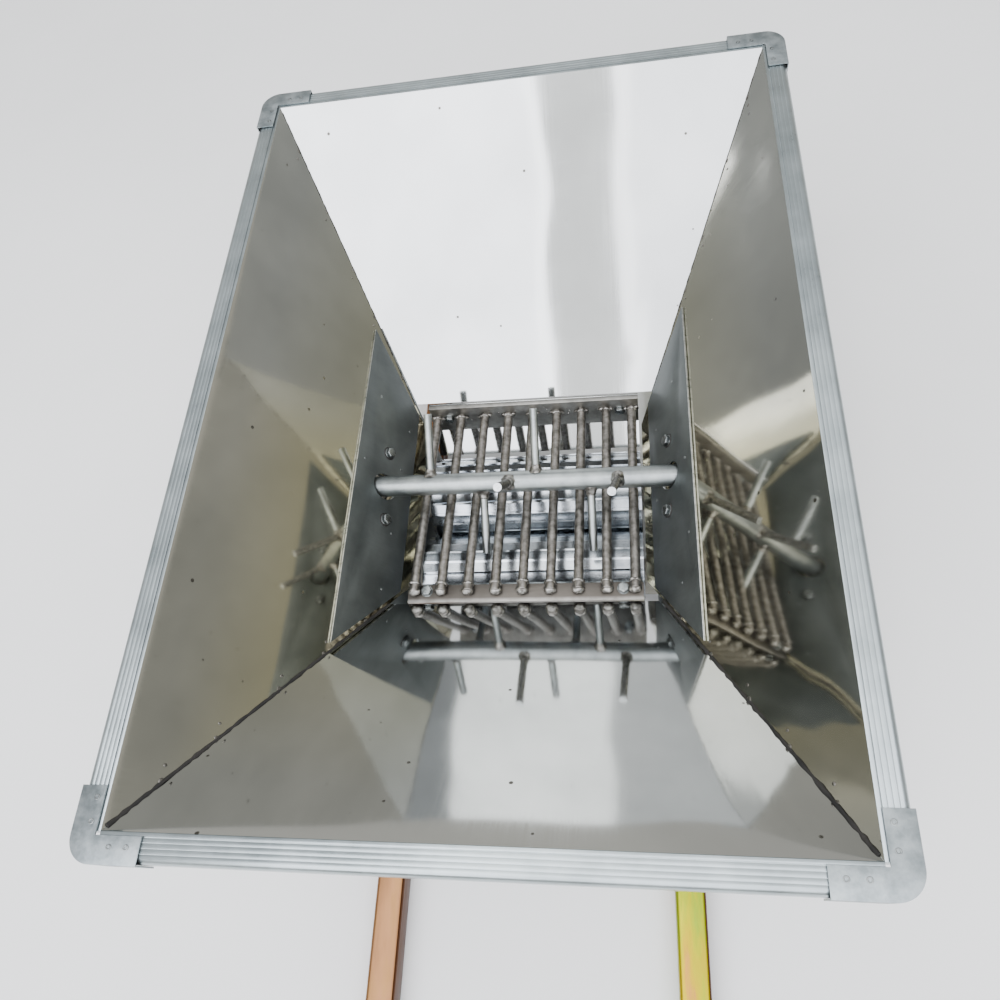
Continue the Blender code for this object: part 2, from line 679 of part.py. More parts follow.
def build_agitator_bearings():
    """Nylon blocks outside the side plates' flanges, their backs cut to the wall's lean,
    each bored for the shaft."""
    reach = BLOCK_OUTER + RAIL_SIZE
    bm = cylinder((-reach, 0, 0), (reach, 0, 0), AGITATOR_RADIUS + GAP, ROUND)
    bore = make_cutter("agitator_bore", bm, (0, AGITATOR_Y, AGITATOR_Z))
    out = SHEET + PLATE + 2 * GAP
    low, high = AGITATOR_Z - BLOCK_HEIGHT / 2, AGITATOR_Z + BLOCK_HEIGHT / 2
    middle = AGITATOR_Y + BLOCK_OFFSET_Y
    section = [
        (side_wall_x(low, out), low),
        (BLOCK_OUTER, low),
        (BLOCK_OUTER, high),
        (side_wall_x(high, out), high),
    ]
    for side, hand in ((-1, "left"), (1, "right")):
        outline = [(side * x, z) for x, z in section]
        bm = extruded(outline, [], "Y", middle - BLOCK_LENGTH / 2, middle + BLOCK_LENGTH / 2)
        block = add_object(f"agitator_bearing_{hand}", bm, "white_nylon", smooth=False)
        boolean(block, bore)


def build_grate():
    """A flat strip across the front and one across the back, with rods between them."""
    rear = THROAT_FRONT + FRONT_STRIP_WIDTH
    low = FRONT_STRIP_TOP - STRIP_THICKNESS
    outline = [
        (THROAT_FRONT, low),
        (rear, low),
        (rear, FRONT_STRIP_TOP),
        (THROAT_FRONT, FRONT_STRIP_TOP),
    ]
    bm = extruded(outline, [], "X", -GRATE_HALF, GRATE_HALF)
    add_object("grate_strip_front", bm, "strip_steel", smooth=False)
    foot = BACK_STRIP_TOP - BACK_STRIP_HEIGHT
    face, back = BACK_STRIP_FACE, BACK_STRIP_FACE + STRIP_THICKNESS
    outline = [(face, foot), (back, foot), (back, BACK_STRIP_TOP), (face, BACK_STRIP_TOP)]
    bm = extruded(outline, [], "X", -GRATE_HALF, GRATE_HALF)
    add_object("grate_strip_back", bm, "strip_steel", smooth=False)
    # A rod touches the front strip along its rear edge and slopes down to the back.
    end_y = BACK_STRIP_FACE - 2 * GAP
    end_z = foot + BACK_STRIP_HEIGHT / 2 + ROD_END_ABOVE - ROD_RADIUS
    rest_z = FRONT_STRIP_TOP + GAP + ROD_RADIUS
    slope = (end_z - rest_z) / (end_y - rear)
    rest_z += ROD_RADIUS * (hypot(1, slope) - 1)
    start_y = THROAT_FRONT + FRONT_STRIP_WIDTH / 2
    start_z = rest_z + slope * (start_y - rear)
    for i in range(RODS):
        x = (i - (RODS - 1) / 2) * ROD_PITCH
        bm = cylinder((x, start_y, start_z), (x, end_y, end_z), ROD_RADIUS)
        add_object(f"grate_rod_{i + 1}", bm, "rod_steel")


def thick_line(points, thickness):
    """The outline of a bent sheet: a line of points and the same line one sheet to the
    left of it."""
    offset = []
    for i, point in enumerate(points):
        here = Vector(point)
        into = (here - Vector(points[i - 1])).normalized() if i else None
        onward = (Vector(points[i + 1]) - here).normalized() if i + 1 < len(points) else into
        into = into or onward
        left = Vector((-into.y, into.x))
        bisector = (left + Vector((-onward.y, onward.x))).normalized()
        offset.append(tuple(here + bisector * thickness / bisector.dot(left)))
    return points + offset[::-1]


def build_guides():
    """Bent sheets from the grate strips down to the rollers, as wide as the strips."""
    reach = ROLLER_RADIUS + GUIDE_CLEARANCE
    lip_y = BACK_ROLLER_Y + reach * cos(GUIDE_ANGLE)
    lip_z = ROLLER_Z + reach * sin(GUIDE_ANGLE)
    face = THROAT_BACK + GAP
    foot = BACK_STRIP_TOP - BACK_STRIP_HEIGHT
    turn_z = max(foot - GAP, lip_z + GUIDE_SHEET)
    line = [(lip_y, lip_z), (face, turn_z), (face, BACK_STRIP_TOP)]
    half = min(GRATE_HALF, guide_half(BACK_STRIP_TOP))
    bm = extruded(thick_line(line, -GUIDE_SHEET), [], "X", -half, half)
    add_object("guide_back", bm, "mirror_steel", smooth=False)
    lip_y = FRONT_ROLLER_Y - reach * cos(GUIDE_ANGLE)
    shelf = FRONT_STRIP_TOP - STRIP_THICKNESS - GAP
    shelf_end = THROAT_FRONT + FRONT_STRIP_WIDTH
    turn_z = lip_z + (lip_y - THROAT_FRONT)
    half = min(GRATE_HALF, guide_half(shelf))
    line = [(shelf_end, shelf), (THROAT_FRONT, shelf), (THROAT_FRONT, turn_z), (lip_y, lip_z)]
    bm = extruded(thick_line(line, GUIDE_SHEET), [], "X", -half, half)
    add_object("guide_front", bm, "mirror_steel", smooth=False)


def guide_half(top):
    """Half the width of a guide whose top stays between the stiffened side walls."""
    return min(WEB_INNER, side_wall_x(top - 2 * GUIDE_SHEET, -STIFFENER - GAP)) - GAP


def wall_corner(side, end, z, out):
    """A hopper corner at a height, with both walls moved out by so much sheet."""
    return Vector((side * side_wall_x(z, out), end_wall_y(z, end, out), z))


def build_hopper():
    """Four leaning sheets whose edges meet in a mitre, and the matte plates that lie on
    the side sheets. The agitator shaft passes through both."""
    reach = RIM_WIDTH
    bm = cylinder((-reach, 0, 0), (reach, 0, 0), AGITATOR_HOLE_RADIUS, ROUND)
    hole = make_cutter("agitator_hole", bm, (0, AGITATOR_Y, AGITATOR_Z))
    top = sheet_top()
    for side, hand in ((-1, "left"), (1, "right")):
        foot = SIDE_FOOT_Z
        shrink = Vector((0, GAP / 2, 0))
        layers = []
        for out in (0, SHEET):
            layers.append([
                wall_corner(side, -1, top, out) + shrink,
                wall_corner(side, 1, top, out) - shrink,
                wall_corner(side, 1, foot, out) - shrink,
                wall_corner(side, -1, foot, out) + shrink,
            ])
        ob = add_object(f"hopper_{hand}", hexahedron(*layers), "mirror_steel", smooth=False)
        boolean(ob, hole)
    for end, word, low in ((-1, "front", FRONT_STRIP_TOP), (1, "back", BACK_STRIP_TOP)):
        foot = low + 2 * GAP + SHEET
        shrink = Vector((GAP / 2, 0, 0))
        layers = []
        for out in (0, SHEET):
            layers.append([
                wall_corner(-1, end, top, out) + shrink,
                wall_corner(1, end, top, out) - shrink,
                wall_corner(1, end, foot, out) - shrink,
                wall_corner(-1, end, foot, out) + shrink,
            ])
        add_object(f"hopper_{word}", hexahedron(*layers), "mirror_steel", smooth=False)
    return hole


def build_stiffeners(hole):
    """A trapezium of matte plate on each side wall, with the shaft's hole."""
    top_z = RIM_TOP - STIFFENER_DROP
    foot_z = SIDE_FOOT_Z + STIFFENER_FOOT_RISE
    for side, hand in ((-1, "left"), (1, "right")):
        layers = []
        for out in (-GAP, -GAP - STIFFENER):
            layers.append([
                (side * side_wall_x(top_z, out), -STIFFENER_FRONT, top_z),
                (side * side_wall_x(top_z, out), STIFFENER_BACK, top_z),
                (side * side_wall_x(foot_z, out), STIFFENER_FOOT_BACK, foot_z),
                (side * side_wall_x(foot_z, out), -STIFFENER_FOOT_FRONT, foot_z),
            ])
        ob = add_object(f"stiffener_{hand}", hexahedron(*layers), "matte_steel", smooth=False)
        boolean(ob, hole)


def rim_section(side):
    """A rim bar's outer and inner outlines, (across, up), with a rounded outer edge."""
    half = RIM_BAR / 2
    loops = []
    for inset in (0, RIM_WALL):
        radius = RIM_EDGE_RADIUS - inset
        reach = half - inset
        low = -RIM_HEIGHT + inset
        edge = arc((reach - radius, -inset - radius), radius, 0, pi / 2, 4)
        loop = [(-reach, low), (reach, low)] + edge + [(-reach, -inset)]
        loops.append([(side * across, up) for across, up in loop])
    return loops


def build_rim():
    """Four hollow bars round the mouth and a stamped cap over each corner."""
    middle_x = RIM_WIDTH / 2 - RIM_BAR / 2
    middle_y = RIM_LENGTH / 2 - RIM_BAR / 2
    for side, hand in ((-1, "left"), (1, "right")):
        outer, inner = rim_section(side)
        bm = extruded(outer, [inner], "Y", -MOUTH_Y, MOUTH_Y)
        add_object(f"rim_{hand}", bm, "anodised_rim", (side * middle_x, 0, RIM_TOP))
    for end, word in ((-1, "front"), (1, "back")):
        outer, inner = rim_section(end)
        bm = extruded(outer, [inner], "X", -MOUTH_X, MOUTH_X)
        add_object(f"rim_{word}", bm, "anodised_rim", (0, end * middle_y, RIM_TOP))
    for end, word in ((-1, "front"), (1, "back")):
        for side, hand in ((-1, "left"), (1, "right")):
            build_corner_cap(f"rim_cap_{word}_{hand}", side, end)


def corner_outline(side, end, out):
    """The plan of a rim corner with its round outside, grown by out on the outside."""
    radius = RIM_BAR + out
    points = [(MOUTH_X - CORNER_LEG_X + RIM_BAR, MOUTH_Y + radius)]
    points += arc((MOUTH_X, MOUTH_Y), radius, pi / 2, 0, 8)
    points += [
        (MOUTH_X + radius, MOUTH_Y - CORNER_LEG_Y + RIM_BAR),
        (MOUTH_X, MOUTH_Y - CORNER_LEG_Y + RIM_BAR),
        (MOUTH_X, MOUTH_Y),
        (MOUTH_X - CORNER_LEG_X + RIM_BAR, MOUTH_Y),
    ]
    return [(side * x, end * y) for x, y in points]


def build_corner_cap(name, side, end):
    """A cap over a rim corner, with a skirt down its outside."""
    top = RIM_TOP + GAP + CORNER_SHEET
    low = RIM_TOP - RIM_HEIGHT
    bm = extruded(corner_outline(side, end, GAP + CORNER_SHEET), [], "Z", low, top)
    cap = add_object(name, bm, "stamped_cap")
    radius = RIM_BAR + GAP
    far = CORNER_LEG_X + CORNER_LEG_Y
    points = [(MOUTH_X - far, MOUTH_Y + radius)]
    points += arc((MOUTH_X, MOUTH_Y), radius, pi / 2, 0, 8)
    points += [(MOUTH_X + radius, MOUTH_Y - far), (MOUTH_X - far, MOUTH_Y - far)]
    outline = [(side * x, end * y) for x, y in points]
    bm = extruded(outline, [], "Z", low - RIM_HEIGHT, RIM_TOP + GAP)
    boolean(cap, make_cutter(f"{name}_inside", bm))


def main():
    for ob in list(bpy.data.objects):
        bpy.data.objects.remove(ob, do_unlink=True)
    rails = build_rails()
    plates, front, back = build_side_plates()
    build_rail_bolts(rails, plates, front, back)
    build_bearings(plates)
    build_rollers()
    build_belt()
    build_crank()
    build_agitator()
    build_agitator_bearings()
    build_grate()
    build_guides()
    hole = build_hopper()
    for plate in plates:
        boolean(plate, hole)
    build_stiffeners(hole)
    build_rim()


main()
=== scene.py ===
"""Looks for a hopper fruit crusher: a mirror-polished steel hopper over two fluted aluminium rollers.

The pieces are in metres, +Z up, with the crusher's back towards +Y. Sheets, bars, rods and drive
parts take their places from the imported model's nodes; fasteners, pegs and marks have theirs here.
"""

import json
from math import cos, hypot, pi, radians, sin
from random import Random

import bpy
from mathutils import Matrix, Vector

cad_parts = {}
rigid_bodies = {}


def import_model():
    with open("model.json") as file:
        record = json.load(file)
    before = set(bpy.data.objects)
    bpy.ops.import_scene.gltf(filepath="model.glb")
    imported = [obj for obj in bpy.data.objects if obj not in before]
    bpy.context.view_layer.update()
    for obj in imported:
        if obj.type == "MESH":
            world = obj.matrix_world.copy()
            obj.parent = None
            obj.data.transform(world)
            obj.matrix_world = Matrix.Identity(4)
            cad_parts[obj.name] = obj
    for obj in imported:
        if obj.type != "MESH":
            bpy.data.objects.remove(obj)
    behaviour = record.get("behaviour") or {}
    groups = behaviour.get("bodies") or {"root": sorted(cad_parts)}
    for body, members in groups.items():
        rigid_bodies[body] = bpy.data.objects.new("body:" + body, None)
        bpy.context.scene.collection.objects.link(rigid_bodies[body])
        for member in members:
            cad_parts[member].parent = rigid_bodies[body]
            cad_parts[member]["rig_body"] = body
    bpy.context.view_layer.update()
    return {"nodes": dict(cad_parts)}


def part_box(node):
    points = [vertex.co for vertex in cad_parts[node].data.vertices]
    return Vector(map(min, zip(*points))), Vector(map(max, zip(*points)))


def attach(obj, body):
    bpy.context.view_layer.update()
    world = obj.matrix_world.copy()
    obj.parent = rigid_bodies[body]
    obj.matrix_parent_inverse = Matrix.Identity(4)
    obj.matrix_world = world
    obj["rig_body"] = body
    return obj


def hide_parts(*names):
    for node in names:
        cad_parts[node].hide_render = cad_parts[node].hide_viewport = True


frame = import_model()

BODY = "frame"
BODIES = {name: node["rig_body"] for name, node in frame["nodes"].items()}
SLOTS = {
    name: node.material_slots[0].material.name.split(".")[0] for name, node in frame["nodes"].items()
}
NEAR = 0.0001  # how close a face or edge is to the place that it is looked for at

# Camera, above the near edge of the hopper and to the right of its middle
CAMERA_PLACE = Vector((0.123507, -0.405188, 0.953279))
CAMERA_FORWARD = Vector((-0.17361825, 0.44798452, -0.87702142))
CAMERA_UP = Vector((0.03460168, 0.89277117, 0.44917965))
CAMERA_LENS = 29.348
CAMERA_SENSOR = 36.0

# Hopper sheets
SHEET = 0.0015
SHEET_CUTS = 71
UNDER_LIP = 0.0003  # from a sheet's top edge to the rim's top
WAVE_FREE = 0.045  # how far in from its edges a sheet starts to ripple
WAVE_WIDTH = 0.17
WAVE_DEPTH = 0.0011
SHAFT_HOLE = 0.0142
HOLE_REACH = 0.08
PLANE = 0.1  # half the side of the plane that a sheet starts as

# Rim extrusions
RIM_WALL = 0.0016
RIM_EDGE = 0.0045
LIP = 0.0026
LIP_GROOVE = 0.0007
LIP_GROOVE_DEPTH = 0.0014
FINE_GROOVES = (0.0062, 0.0098, 0.0134)
FINE_GROOVE = 0.0003
FINE_GROOVE_DEPTH = 0.00016

# Corner caps and their rivets
CAP_SHEET = 0.0012
RIVET_RADIUS = 0.0021
RIVET_HEIGHT = 0.0007
RIVET_SPOTS = ((0.263, 0.348), (0.263, 0.364), (0.232, 0.380), (0.245, 0.380))

# Agitator
AGITATOR = (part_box("agitator_collar")[0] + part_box("agitator_collar")[1]) / 2
SHAFT_RADIUS = 0.011
PEG_ROOT = SHAFT_RADIUS * 0.7
PEG_RADIUS = 0.0042
PEG_REACH = 0.075
PEG_PITCH = 0.0282
PEG_COUNT = 8
PEG_PHASE = radians(32)
PEG_STEP = radians(-90)
BENT_PEG = 7
BEND = (radians(6), -0.06)  # turn round the shaft, and lean along it
THREADED_PEGS = (3, 7)
THREAD_PITCH = 0.00125
THREAD_DEPTH = 0.00045
FILLET = 0.0085

# Grate
ROD_RADIUS = 0.0051
ROD_COUNT = 9
FRONT_COLLAR = 0.0085  # how far a weld's collar is from its end of the rod
BACK_COLLAR = 0.0032
SPATTER_COUNT = 70
SPATTER_X = (0.025, 0.045)  # middle and spread along the back bar
SPATTER_Z = (0.160, 0.006)

# Bolts: an M6 head, its washer, and where the bolts are
HEAD_RADIUS = 0.0058
HEAD_HEIGHT = 0.0042
WASHER_RADIUS = 0.0062
WASHER_FOOT = -0.0004
WASHER_TOP = 0.0009
# A dark ring round each stiffener bolt's washer, its major and minor radius: painted shadow
PAINTED_SHADOW_RING = (0.0066, 0.0009)
BACK_BOLT = (0.100, 0.159)  # X and Z
FRONT_BOLT = (0.1006, -0.115)  # X and Y
PLATE_BOLTS = ((0.036, 0.211), (-0.042, 0.206))  # Y and Z

# Stiffeners, with the Y and Z of the rivets in the left and the right one
STIFFENER = 0.0025
STIFFENER_HOLE = 0.155  # X of the middle of its hole's cutter
PLATE_RIVET = 0.0015
PLATE_RIVETS = {
    -1: (
        (0.099, 0.230), (0.078, 0.187), (0.025, 0.193),
        (0.015, 0.240), (-0.054, 0.196), (-0.118, 0.200),
    ),
    1: (
        (0.100, 0.224), (0.000, 0.238), (-0.080, 0.237),
        (0.062, 0.190), (-0.020, 0.186), (-0.125, 0.222),
    ),
}

# Seams between the sheets, and the tacks beside them: how far off, and how big
FRONT_SEAM = 0.0019
BACK_SEAM = 0.0008
TACKS = ((0.0015, 0.0028), (0.013, 0.0016))
TACK_ROWS = 5
TACK_START = 0.12  # shares of the seam's length, as the step is
TACK_STEP = 0.19
WALL_LEAN = 0.533  # a side wall's run for its rise

# Nodes of the drive and the carriage whose edges are only eased
EASED = (
    "side_plate", "agitator_bearing", "agitator_collar", "gear", "pulley", "shaft_front",
    "shaft_back", "crank", "grip", "rail_cap", "rail_bolt",
)


# ---------------------------------------------------------------- modelling by hand


def clear_selection():
    """Leaves nothing selected, in object mode."""
    if bpy.context.object and bpy.context.object.mode != "OBJECT":
        bpy.ops.object.mode_set(mode="OBJECT")
    bpy.ops.object.select_all(action="DESELECT")


def choose(piece):
    """Makes a piece the only one selected, and the active one."""
    clear_selection()
    piece.select_set(True)
    bpy.context.view_layer.objects.active = piece


def start(name, add, **settings):
    """Adds a primitive at its size and place, names it, and keeps its place in its mesh."""
    clear_selection()
    add(**settings)
    piece = bpy.context.active_object
    piece.name = name
    piece.data.name = name
    bpy.ops.object.transform_apply(location=True, rotation=True, scale=True)
    return piece


def select(piece, kind, test):
    """Opens a piece for editing with the faces, edges or vertices selected that pass a test
    of their middle and their normal or direction."""
    choose(piece)
    bpy.ops.object.mode_set(mode="EDIT")
    bpy.ops.mesh.select_mode(type=kind)
    bpy.ops.mesh.select_all(action="DESELECT")
    bpy.ops.object.mode_set(mode="OBJECT")
    mesh = piece.data
    if kind == "FACE":
        for face in mesh.polygons:
            face.select = test(face.center, face.normal)
    elif kind == "EDGE":
        for edge in mesh.edges:
            a, b = (mesh.vertices[i].co for i in edge.vertices)
            edge.select = test((a + b) / 2, (b - a).normalized())
    else:
        for vertex in mesh.vertices:
            vertex.select = test(vertex.co, vertex.normal)
    bpy.ops.object.mode_set(mode="EDIT")


def whole(piece):
    """Opens a piece for editing with all of it selected."""
    choose(piece)
    bpy.ops.object.mode_set(mode="EDIT")
    bpy.ops.mesh.select_mode(type="FACE")
    bpy.ops.mesh.select_all(action="SELECT")


def close():
    """Goes back from editing to object mode."""
    bpy.ops.object.mode_set(mode="OBJECT")


def extrude(move):
    """Extrudes the selected faces or edges by a move."""
    bpy.ops.mesh.extrude_region_move(TRANSFORM_OT_translate={"value": tuple(move)})


def modify(piece, kind, **settings):
    """Adds one modifier to a piece and applies it."""
    choose(piece)
    modifier = piece.modifiers.new(kind.lower(), kind)
    for key, value in settings.items():
        setattr(modifier, key, value)
    bpy.ops.object.modifier_apply(modifier=modifier.name)


def soften(piece, width, segments=2, angle=35, shade=35):
    """Rounds a piece's sharp edges a little and smooths its curved faces."""
    modify(
        piece,
        "BEVEL",
        width=width,
        segments=segments,
        limit_method="ANGLE",
        angle_limit=radians(angle),
        use_clamp_overlap=True,
    )
    smooth(piece, shade)


def smooth(piece, angle=35):
    """Shades a piece smooth, apart from its sharp edges."""
    choose(piece)
    bpy.ops.object.shade_smooth_by_angle(angle=radians(angle))


def roughen(piece, size, depth, cloud=0):
    """Makes a surface lumpy, as hot or drawn metal is."""
    modify(
        piece,
        "DISPLACE",
        texture=lump_texture(size, cloud),
        strength=depth,
        mid_level=0.5,
        texture_coords="LOCAL",
    )


def lump_texture(size, cloud):
    """A soft lumpy pattern of one size in metres."""
    name = f"lumps_{round(size * 10000)}_{cloud}"
    texture = bpy.data.textures.get(name)
    if texture is None:
        texture = bpy.data.textures.new(name, "CLOUDS")
        texture.noise_scale = size
        texture.noise_depth = cloud
    return texture


def copied(piece, name, matrix):
    """A copy with its own mesh, moved and turned by a matrix."""
    copy = piece.copy()
    copy.data = piece.data.copy()
    copy.name = name
    copy.data.name = name
    bpy.context.scene.collection.objects.link(copy)
    copy.data.transform(matrix)
    if matrix.determinant() < 0:
        copy.data.flip_normals()
    return copy


def joined(name, pieces):
    """One piece made of several."""
    clear_selection()
    for piece in pieces:
        piece.select_set(True)
    bpy.context.view_layer.objects.active = pieces[0]
    if len(pieces) > 1:
        bpy.ops.object.join()
    pieces[0].name = name
    pieces[0].data.name = name
    return pieces[0]


def discard(*pieces):
    """Takes away pieces that only served as patterns or cutters."""
    for piece in pieces:
        bpy.data.objects.remove(piece)


def cut(piece, cutter):
    """Cuts one shape out of a piece."""
    modify(piece, "BOOLEAN", operation="DIFFERENCE", solver="EXACT", object=cutter)
    discard(cutter)


def fit(piece, material, body, slot, *nodes):
    """Gives a finished piece its finish, the body it moves with and the nodes it stands for."""
    if not piece.data.materials:
        piece.data.materials.append(material)
    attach(piece, body)
    if nodes:
        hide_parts(*nodes)
    return piece


def corner(node, *direction):
    """The place of a node's vertex that lies furthest along a direction."""
    along = Vector(direction)
    return max((v.co.copy() for v in frame["nodes"][node].data.vertices), key=along.dot)


def turned_to(direction, place):
    """The matrix that takes +Z to a direction, at a place."""
    turn = Vector(direction).to_track_quat("Z", "Y").to_matrix().to_4x4()
    return Matrix.Translation(place) @ turn


# ---------------------------------------------------------------- finishes


def linear(hex_colour):
    """A colour written as sRGB hex, as linear red, green, blue and alpha."""
    channels = [int(hex_colour[i : i + 2], 16) / 255 for i in (1, 3, 5)]
    return [c / 12.92 if c <= 0.04045 else ((c + 0.055) / 1.055) ** 2.4 for c in channels] + [1]


def new_finish(name):
    """An empty material, and its node tree."""
    material = bpy.data.materials.new(name)
    material.use_nodes = True
    material.node_tree.nodes.clear()
    return material, material.node_tree


def add_node(tree, kind, values=None, links=None, **settings):
    """Adds one node with its settings, its sockets' values and its links."""
    node = tree.nodes.new(kind)
    for key, value in settings.items():
        setattr(node, key, value)
    for socket, value in (values or {}).items():
        node.inputs[socket].default_value = value
    for socket, source in (links or {}).items():
        tree.links.new(source, node.inputs[socket])
    return node


MIX_A, MIX_B, MIX_RESULT = 6, 7, 2  # the colour sockets of a Mix node


def finish_parts(material):
    """The node tree of a metal made by bare_metal, its shader, its coordinates and its colour."""
    tree = material.node_tree
    surface = next(n for n in tree.nodes if n.type == "BSDF_PRINCIPLED")
    coords = next(n for n in tree.nodes if n.type == "TEX_COORD").outputs["Object"]
    return tree, surface, coords, surface.inputs["Base Color"].links[0].from_socket


def bare_metal(name, dark, light, gloss, patch, marks, depth, contrast=(0.35, 0.65), metallic=1.0):
    """A bare metal: two tones over soft patches, tool marks drawn out along one direction,
    and a gloss that follows both. Patch and depth are in metres, marks are counts a metre."""
    material, tree = new_finish(name)
    coords = add_node(tree, "ShaderNodeTexCoord").outputs["Object"]
    patches = add_node(
        tree,
        "ShaderNodeTexNoise",
        {"Scale": 1 / patch, "Detail": 4, "Roughness": 0.6},
        {"Vector": coords},
    )
    tone = add_node(
        tree,
        "ShaderNodeMapRange",
        {"From Min": contrast[0], "From Max": contrast[1]},
        {"Value": patches.outputs["Fac"]},
    )
    stretch = add_node(tree, "ShaderNodeMapping", {"Scale": marks}, {"Vector": coords})
    lines = add_node(
        tree,
        "ShaderNodeTexNoise",
        {"Scale": 1, "Detail": 3, "Roughness": 0.55},
        {"Vector": stretch.outputs[0]},
    )
    colour = add_node(
        tree,
        "ShaderNodeMix",
        {MIX_A: linear(dark), MIX_B: linear(light)},
        {0: tone.outputs[0]},
        data_type="RGBA",
    )
    blend = add_node(
        tree,
        "ShaderNodeMath",
        None,
        {0: tone.outputs[0], 1: lines.outputs["Fac"], 2: lines.outputs["Fac"]},
        operation="MULTIPLY_ADD",
    )
    rough = add_node(
        tree,
        "ShaderNodeMapRange",
        {"From Min": 0.2, "From Max": 1.2, "To Min": gloss[0], "To Max": gloss[1]},
        {"Value": blend.outputs[0]},
    )
    bump = add_node(
        tree, "ShaderNodeBump", {"Strength": 1, "Distance": depth}, {"Height": lines.outputs["Fac"]}
    )
    surface = add_node(
        tree,
        "ShaderNodeBsdfPrincipled",
        {"Metallic": metallic},
        {
            "Base Color": colour.outputs[MIX_RESULT],
            "Roughness": rough.outputs[0],
            "Normal": bump.outputs[0],
        },
    )
    add_node(tree, "ShaderNodeOutputMaterial", None, {"Surface": surface.outputs[0]})
    return material


def polished_sheet(name, marks, dark, light):
    """Mirror-polished stainless sheet: clear reflections, faint buffing lines down the slope,
    short stray scratches and small dull pits where it was handled."""
    material = bare_metal(name, dark, light, (0.03, 0.085), 0.24, marks, 0.0000018, (0.3, 0.7))
    tree, surface, coords, tone = finish_parts(material)
    gloss = surface.inputs["Roughness"].links[0].from_socket
    # Pits up to 4 mm across, some 75 to the square metre
    cells = add_node(
        tree, "ShaderNodeTexVoronoi", {"Scale": 1 / 0.035, "Randomness": 1}, {"Vector": coords}
    )
    pit = add_node(
        tree,
        "ShaderNodeMapRange",
        {"From Min": 0.04, "From Max": 0.056, "To Min": 1, "To Max": 0},
        {"Value": cells.outputs["Distance"]},
    )
    # Scratches about 0.4 mm wide and 40 mm long, at a slant
    slant = add_node(
        tree,
        "ShaderNodeMapping",
        {"Scale": (22, 900, 900), "Rotation": (0.5, 0.3, 0.9)},
        {"Vector": coords},
    )
    streaks = add_node(
        tree, "ShaderNodeTexNoise", {"Scale": 1, "Detail": 1}, {"Vector": slant.outputs[0]}
    )
    scratch = add_node(
        tree,
        "ShaderNodeMapRange",
        {"From Min": 0.74, "From Max": 0.8},
        {"Value": streaks.outputs["Fac"]},
    )
    pitted = add_node(
        tree,
        "ShaderNodeMix",
        {MIX_B: linear("#5E5C57")},
        {0: pit.outputs[0], MIX_A: tone},
        data_type="RGBA",
    )
    tree.links.new(pitted.outputs[MIX_RESULT], surface.inputs["Base Color"])
    marked = add_node(
        tree,
        "ShaderNodeMath",
        {1: 0.22},
        {0: scratch.outputs[0], 2: pit.outputs[0]},
        operation="MULTIPLY_ADD",
    )
    duller = add_node(
        tree,
        "ShaderNodeMath",
        {1: 0.3},
        {0: marked.outputs[0], 2: gloss},
        operation="MULTIPLY_ADD",
    )
    tree.links.new(duller.outputs[0], surface.inputs["Roughness"])
    return material


def tinted(material, axis, start_at, full_at, colour, share=0.85):
    """A finish with a second colour over it that comes in between two places along an axis."""
    tree, surface, coords, tone = finish_parts(material)
    place = add_node(tree, "ShaderNodeSeparateXYZ", None, {0: coords})
    amount = add_node(
        tree,
        "ShaderNodeMapRange",
        {"From Min": start_at, "From Max": full_at, "To Min": 0, "To Max": share},
        {"Value": place.outputs[axis]},
    )
    mixed = add_node(
        tree,
        "ShaderNodeMix",
        {MIX_B: linear(colour)},
        {0: amount.outputs[0], MIX_A: tone},
        data_type="RGBA",
    )
    tree.links.new(mixed.outputs[MIX_RESULT], surface.inputs["Base Color"])
    return material


def moulded(name, dark, light, gloss, grain, depth, patch=0.03):
    """A moulded or machined plastic or rubber: an even colour, slightly clouded, fine in grain."""
    return bare_metal(name, dark, light, gloss, patch, (1 / grain,) * 3, depth, metallic=0.0)


FILM_RANGE = (0.3, 0.7)  # the part of the film's noise that the colours are spread over


def passivated_rail(name, bands):
    """Yellow-zinc passivated steel tube: a thin film whose colour drifts in cloudy bands along
    the tube, over a soft metal shine."""
    material = bare_metal(name, bands[0], bands[-1], (0.28, 0.42), 0.07, (900, 60, 900), 0.000006)
    tree, surface, coords, _ = finish_parts(material)
    place = add_node(tree, "ShaderNodeMapping", {"Scale": (42, 7, 30)}, {"Vector": coords})
    film = add_node(
        tree,
        "ShaderNodeTexNoise",
        {"Scale": 1, "Detail": 4, "Roughness": 0.6},
        {"Vector": place.outputs[0]},
    )
    ramp = add_node(tree, "ShaderNodeValToRGB", None, {"Fac": film.outputs["Fac"]})
    stops = ramp.color_ramp.elements
    first, last = FILM_RANGE
    stops[0].position, stops[1].position = first, last
    stops[0].color, stops[1].color = linear(bands[0]), linear(bands[-1])
    for i in range(1, len(bands) - 1):
        stop = stops.new(first + (last - first) * i / (len(bands) - 1))
        stop.color = linear(bands[i])
    tree.links.new(ramp.outputs["Color"], surface.inputs["Base Color"])
    return material


def anodised(name, marks):
    """Clear-anodised extruded aluminium, with its die lines along one direction."""
    return bare_metal(name, "#9BA4A6", "#B2BBBD", (0.24, 0.38), 0.05, marks, 0.000012)


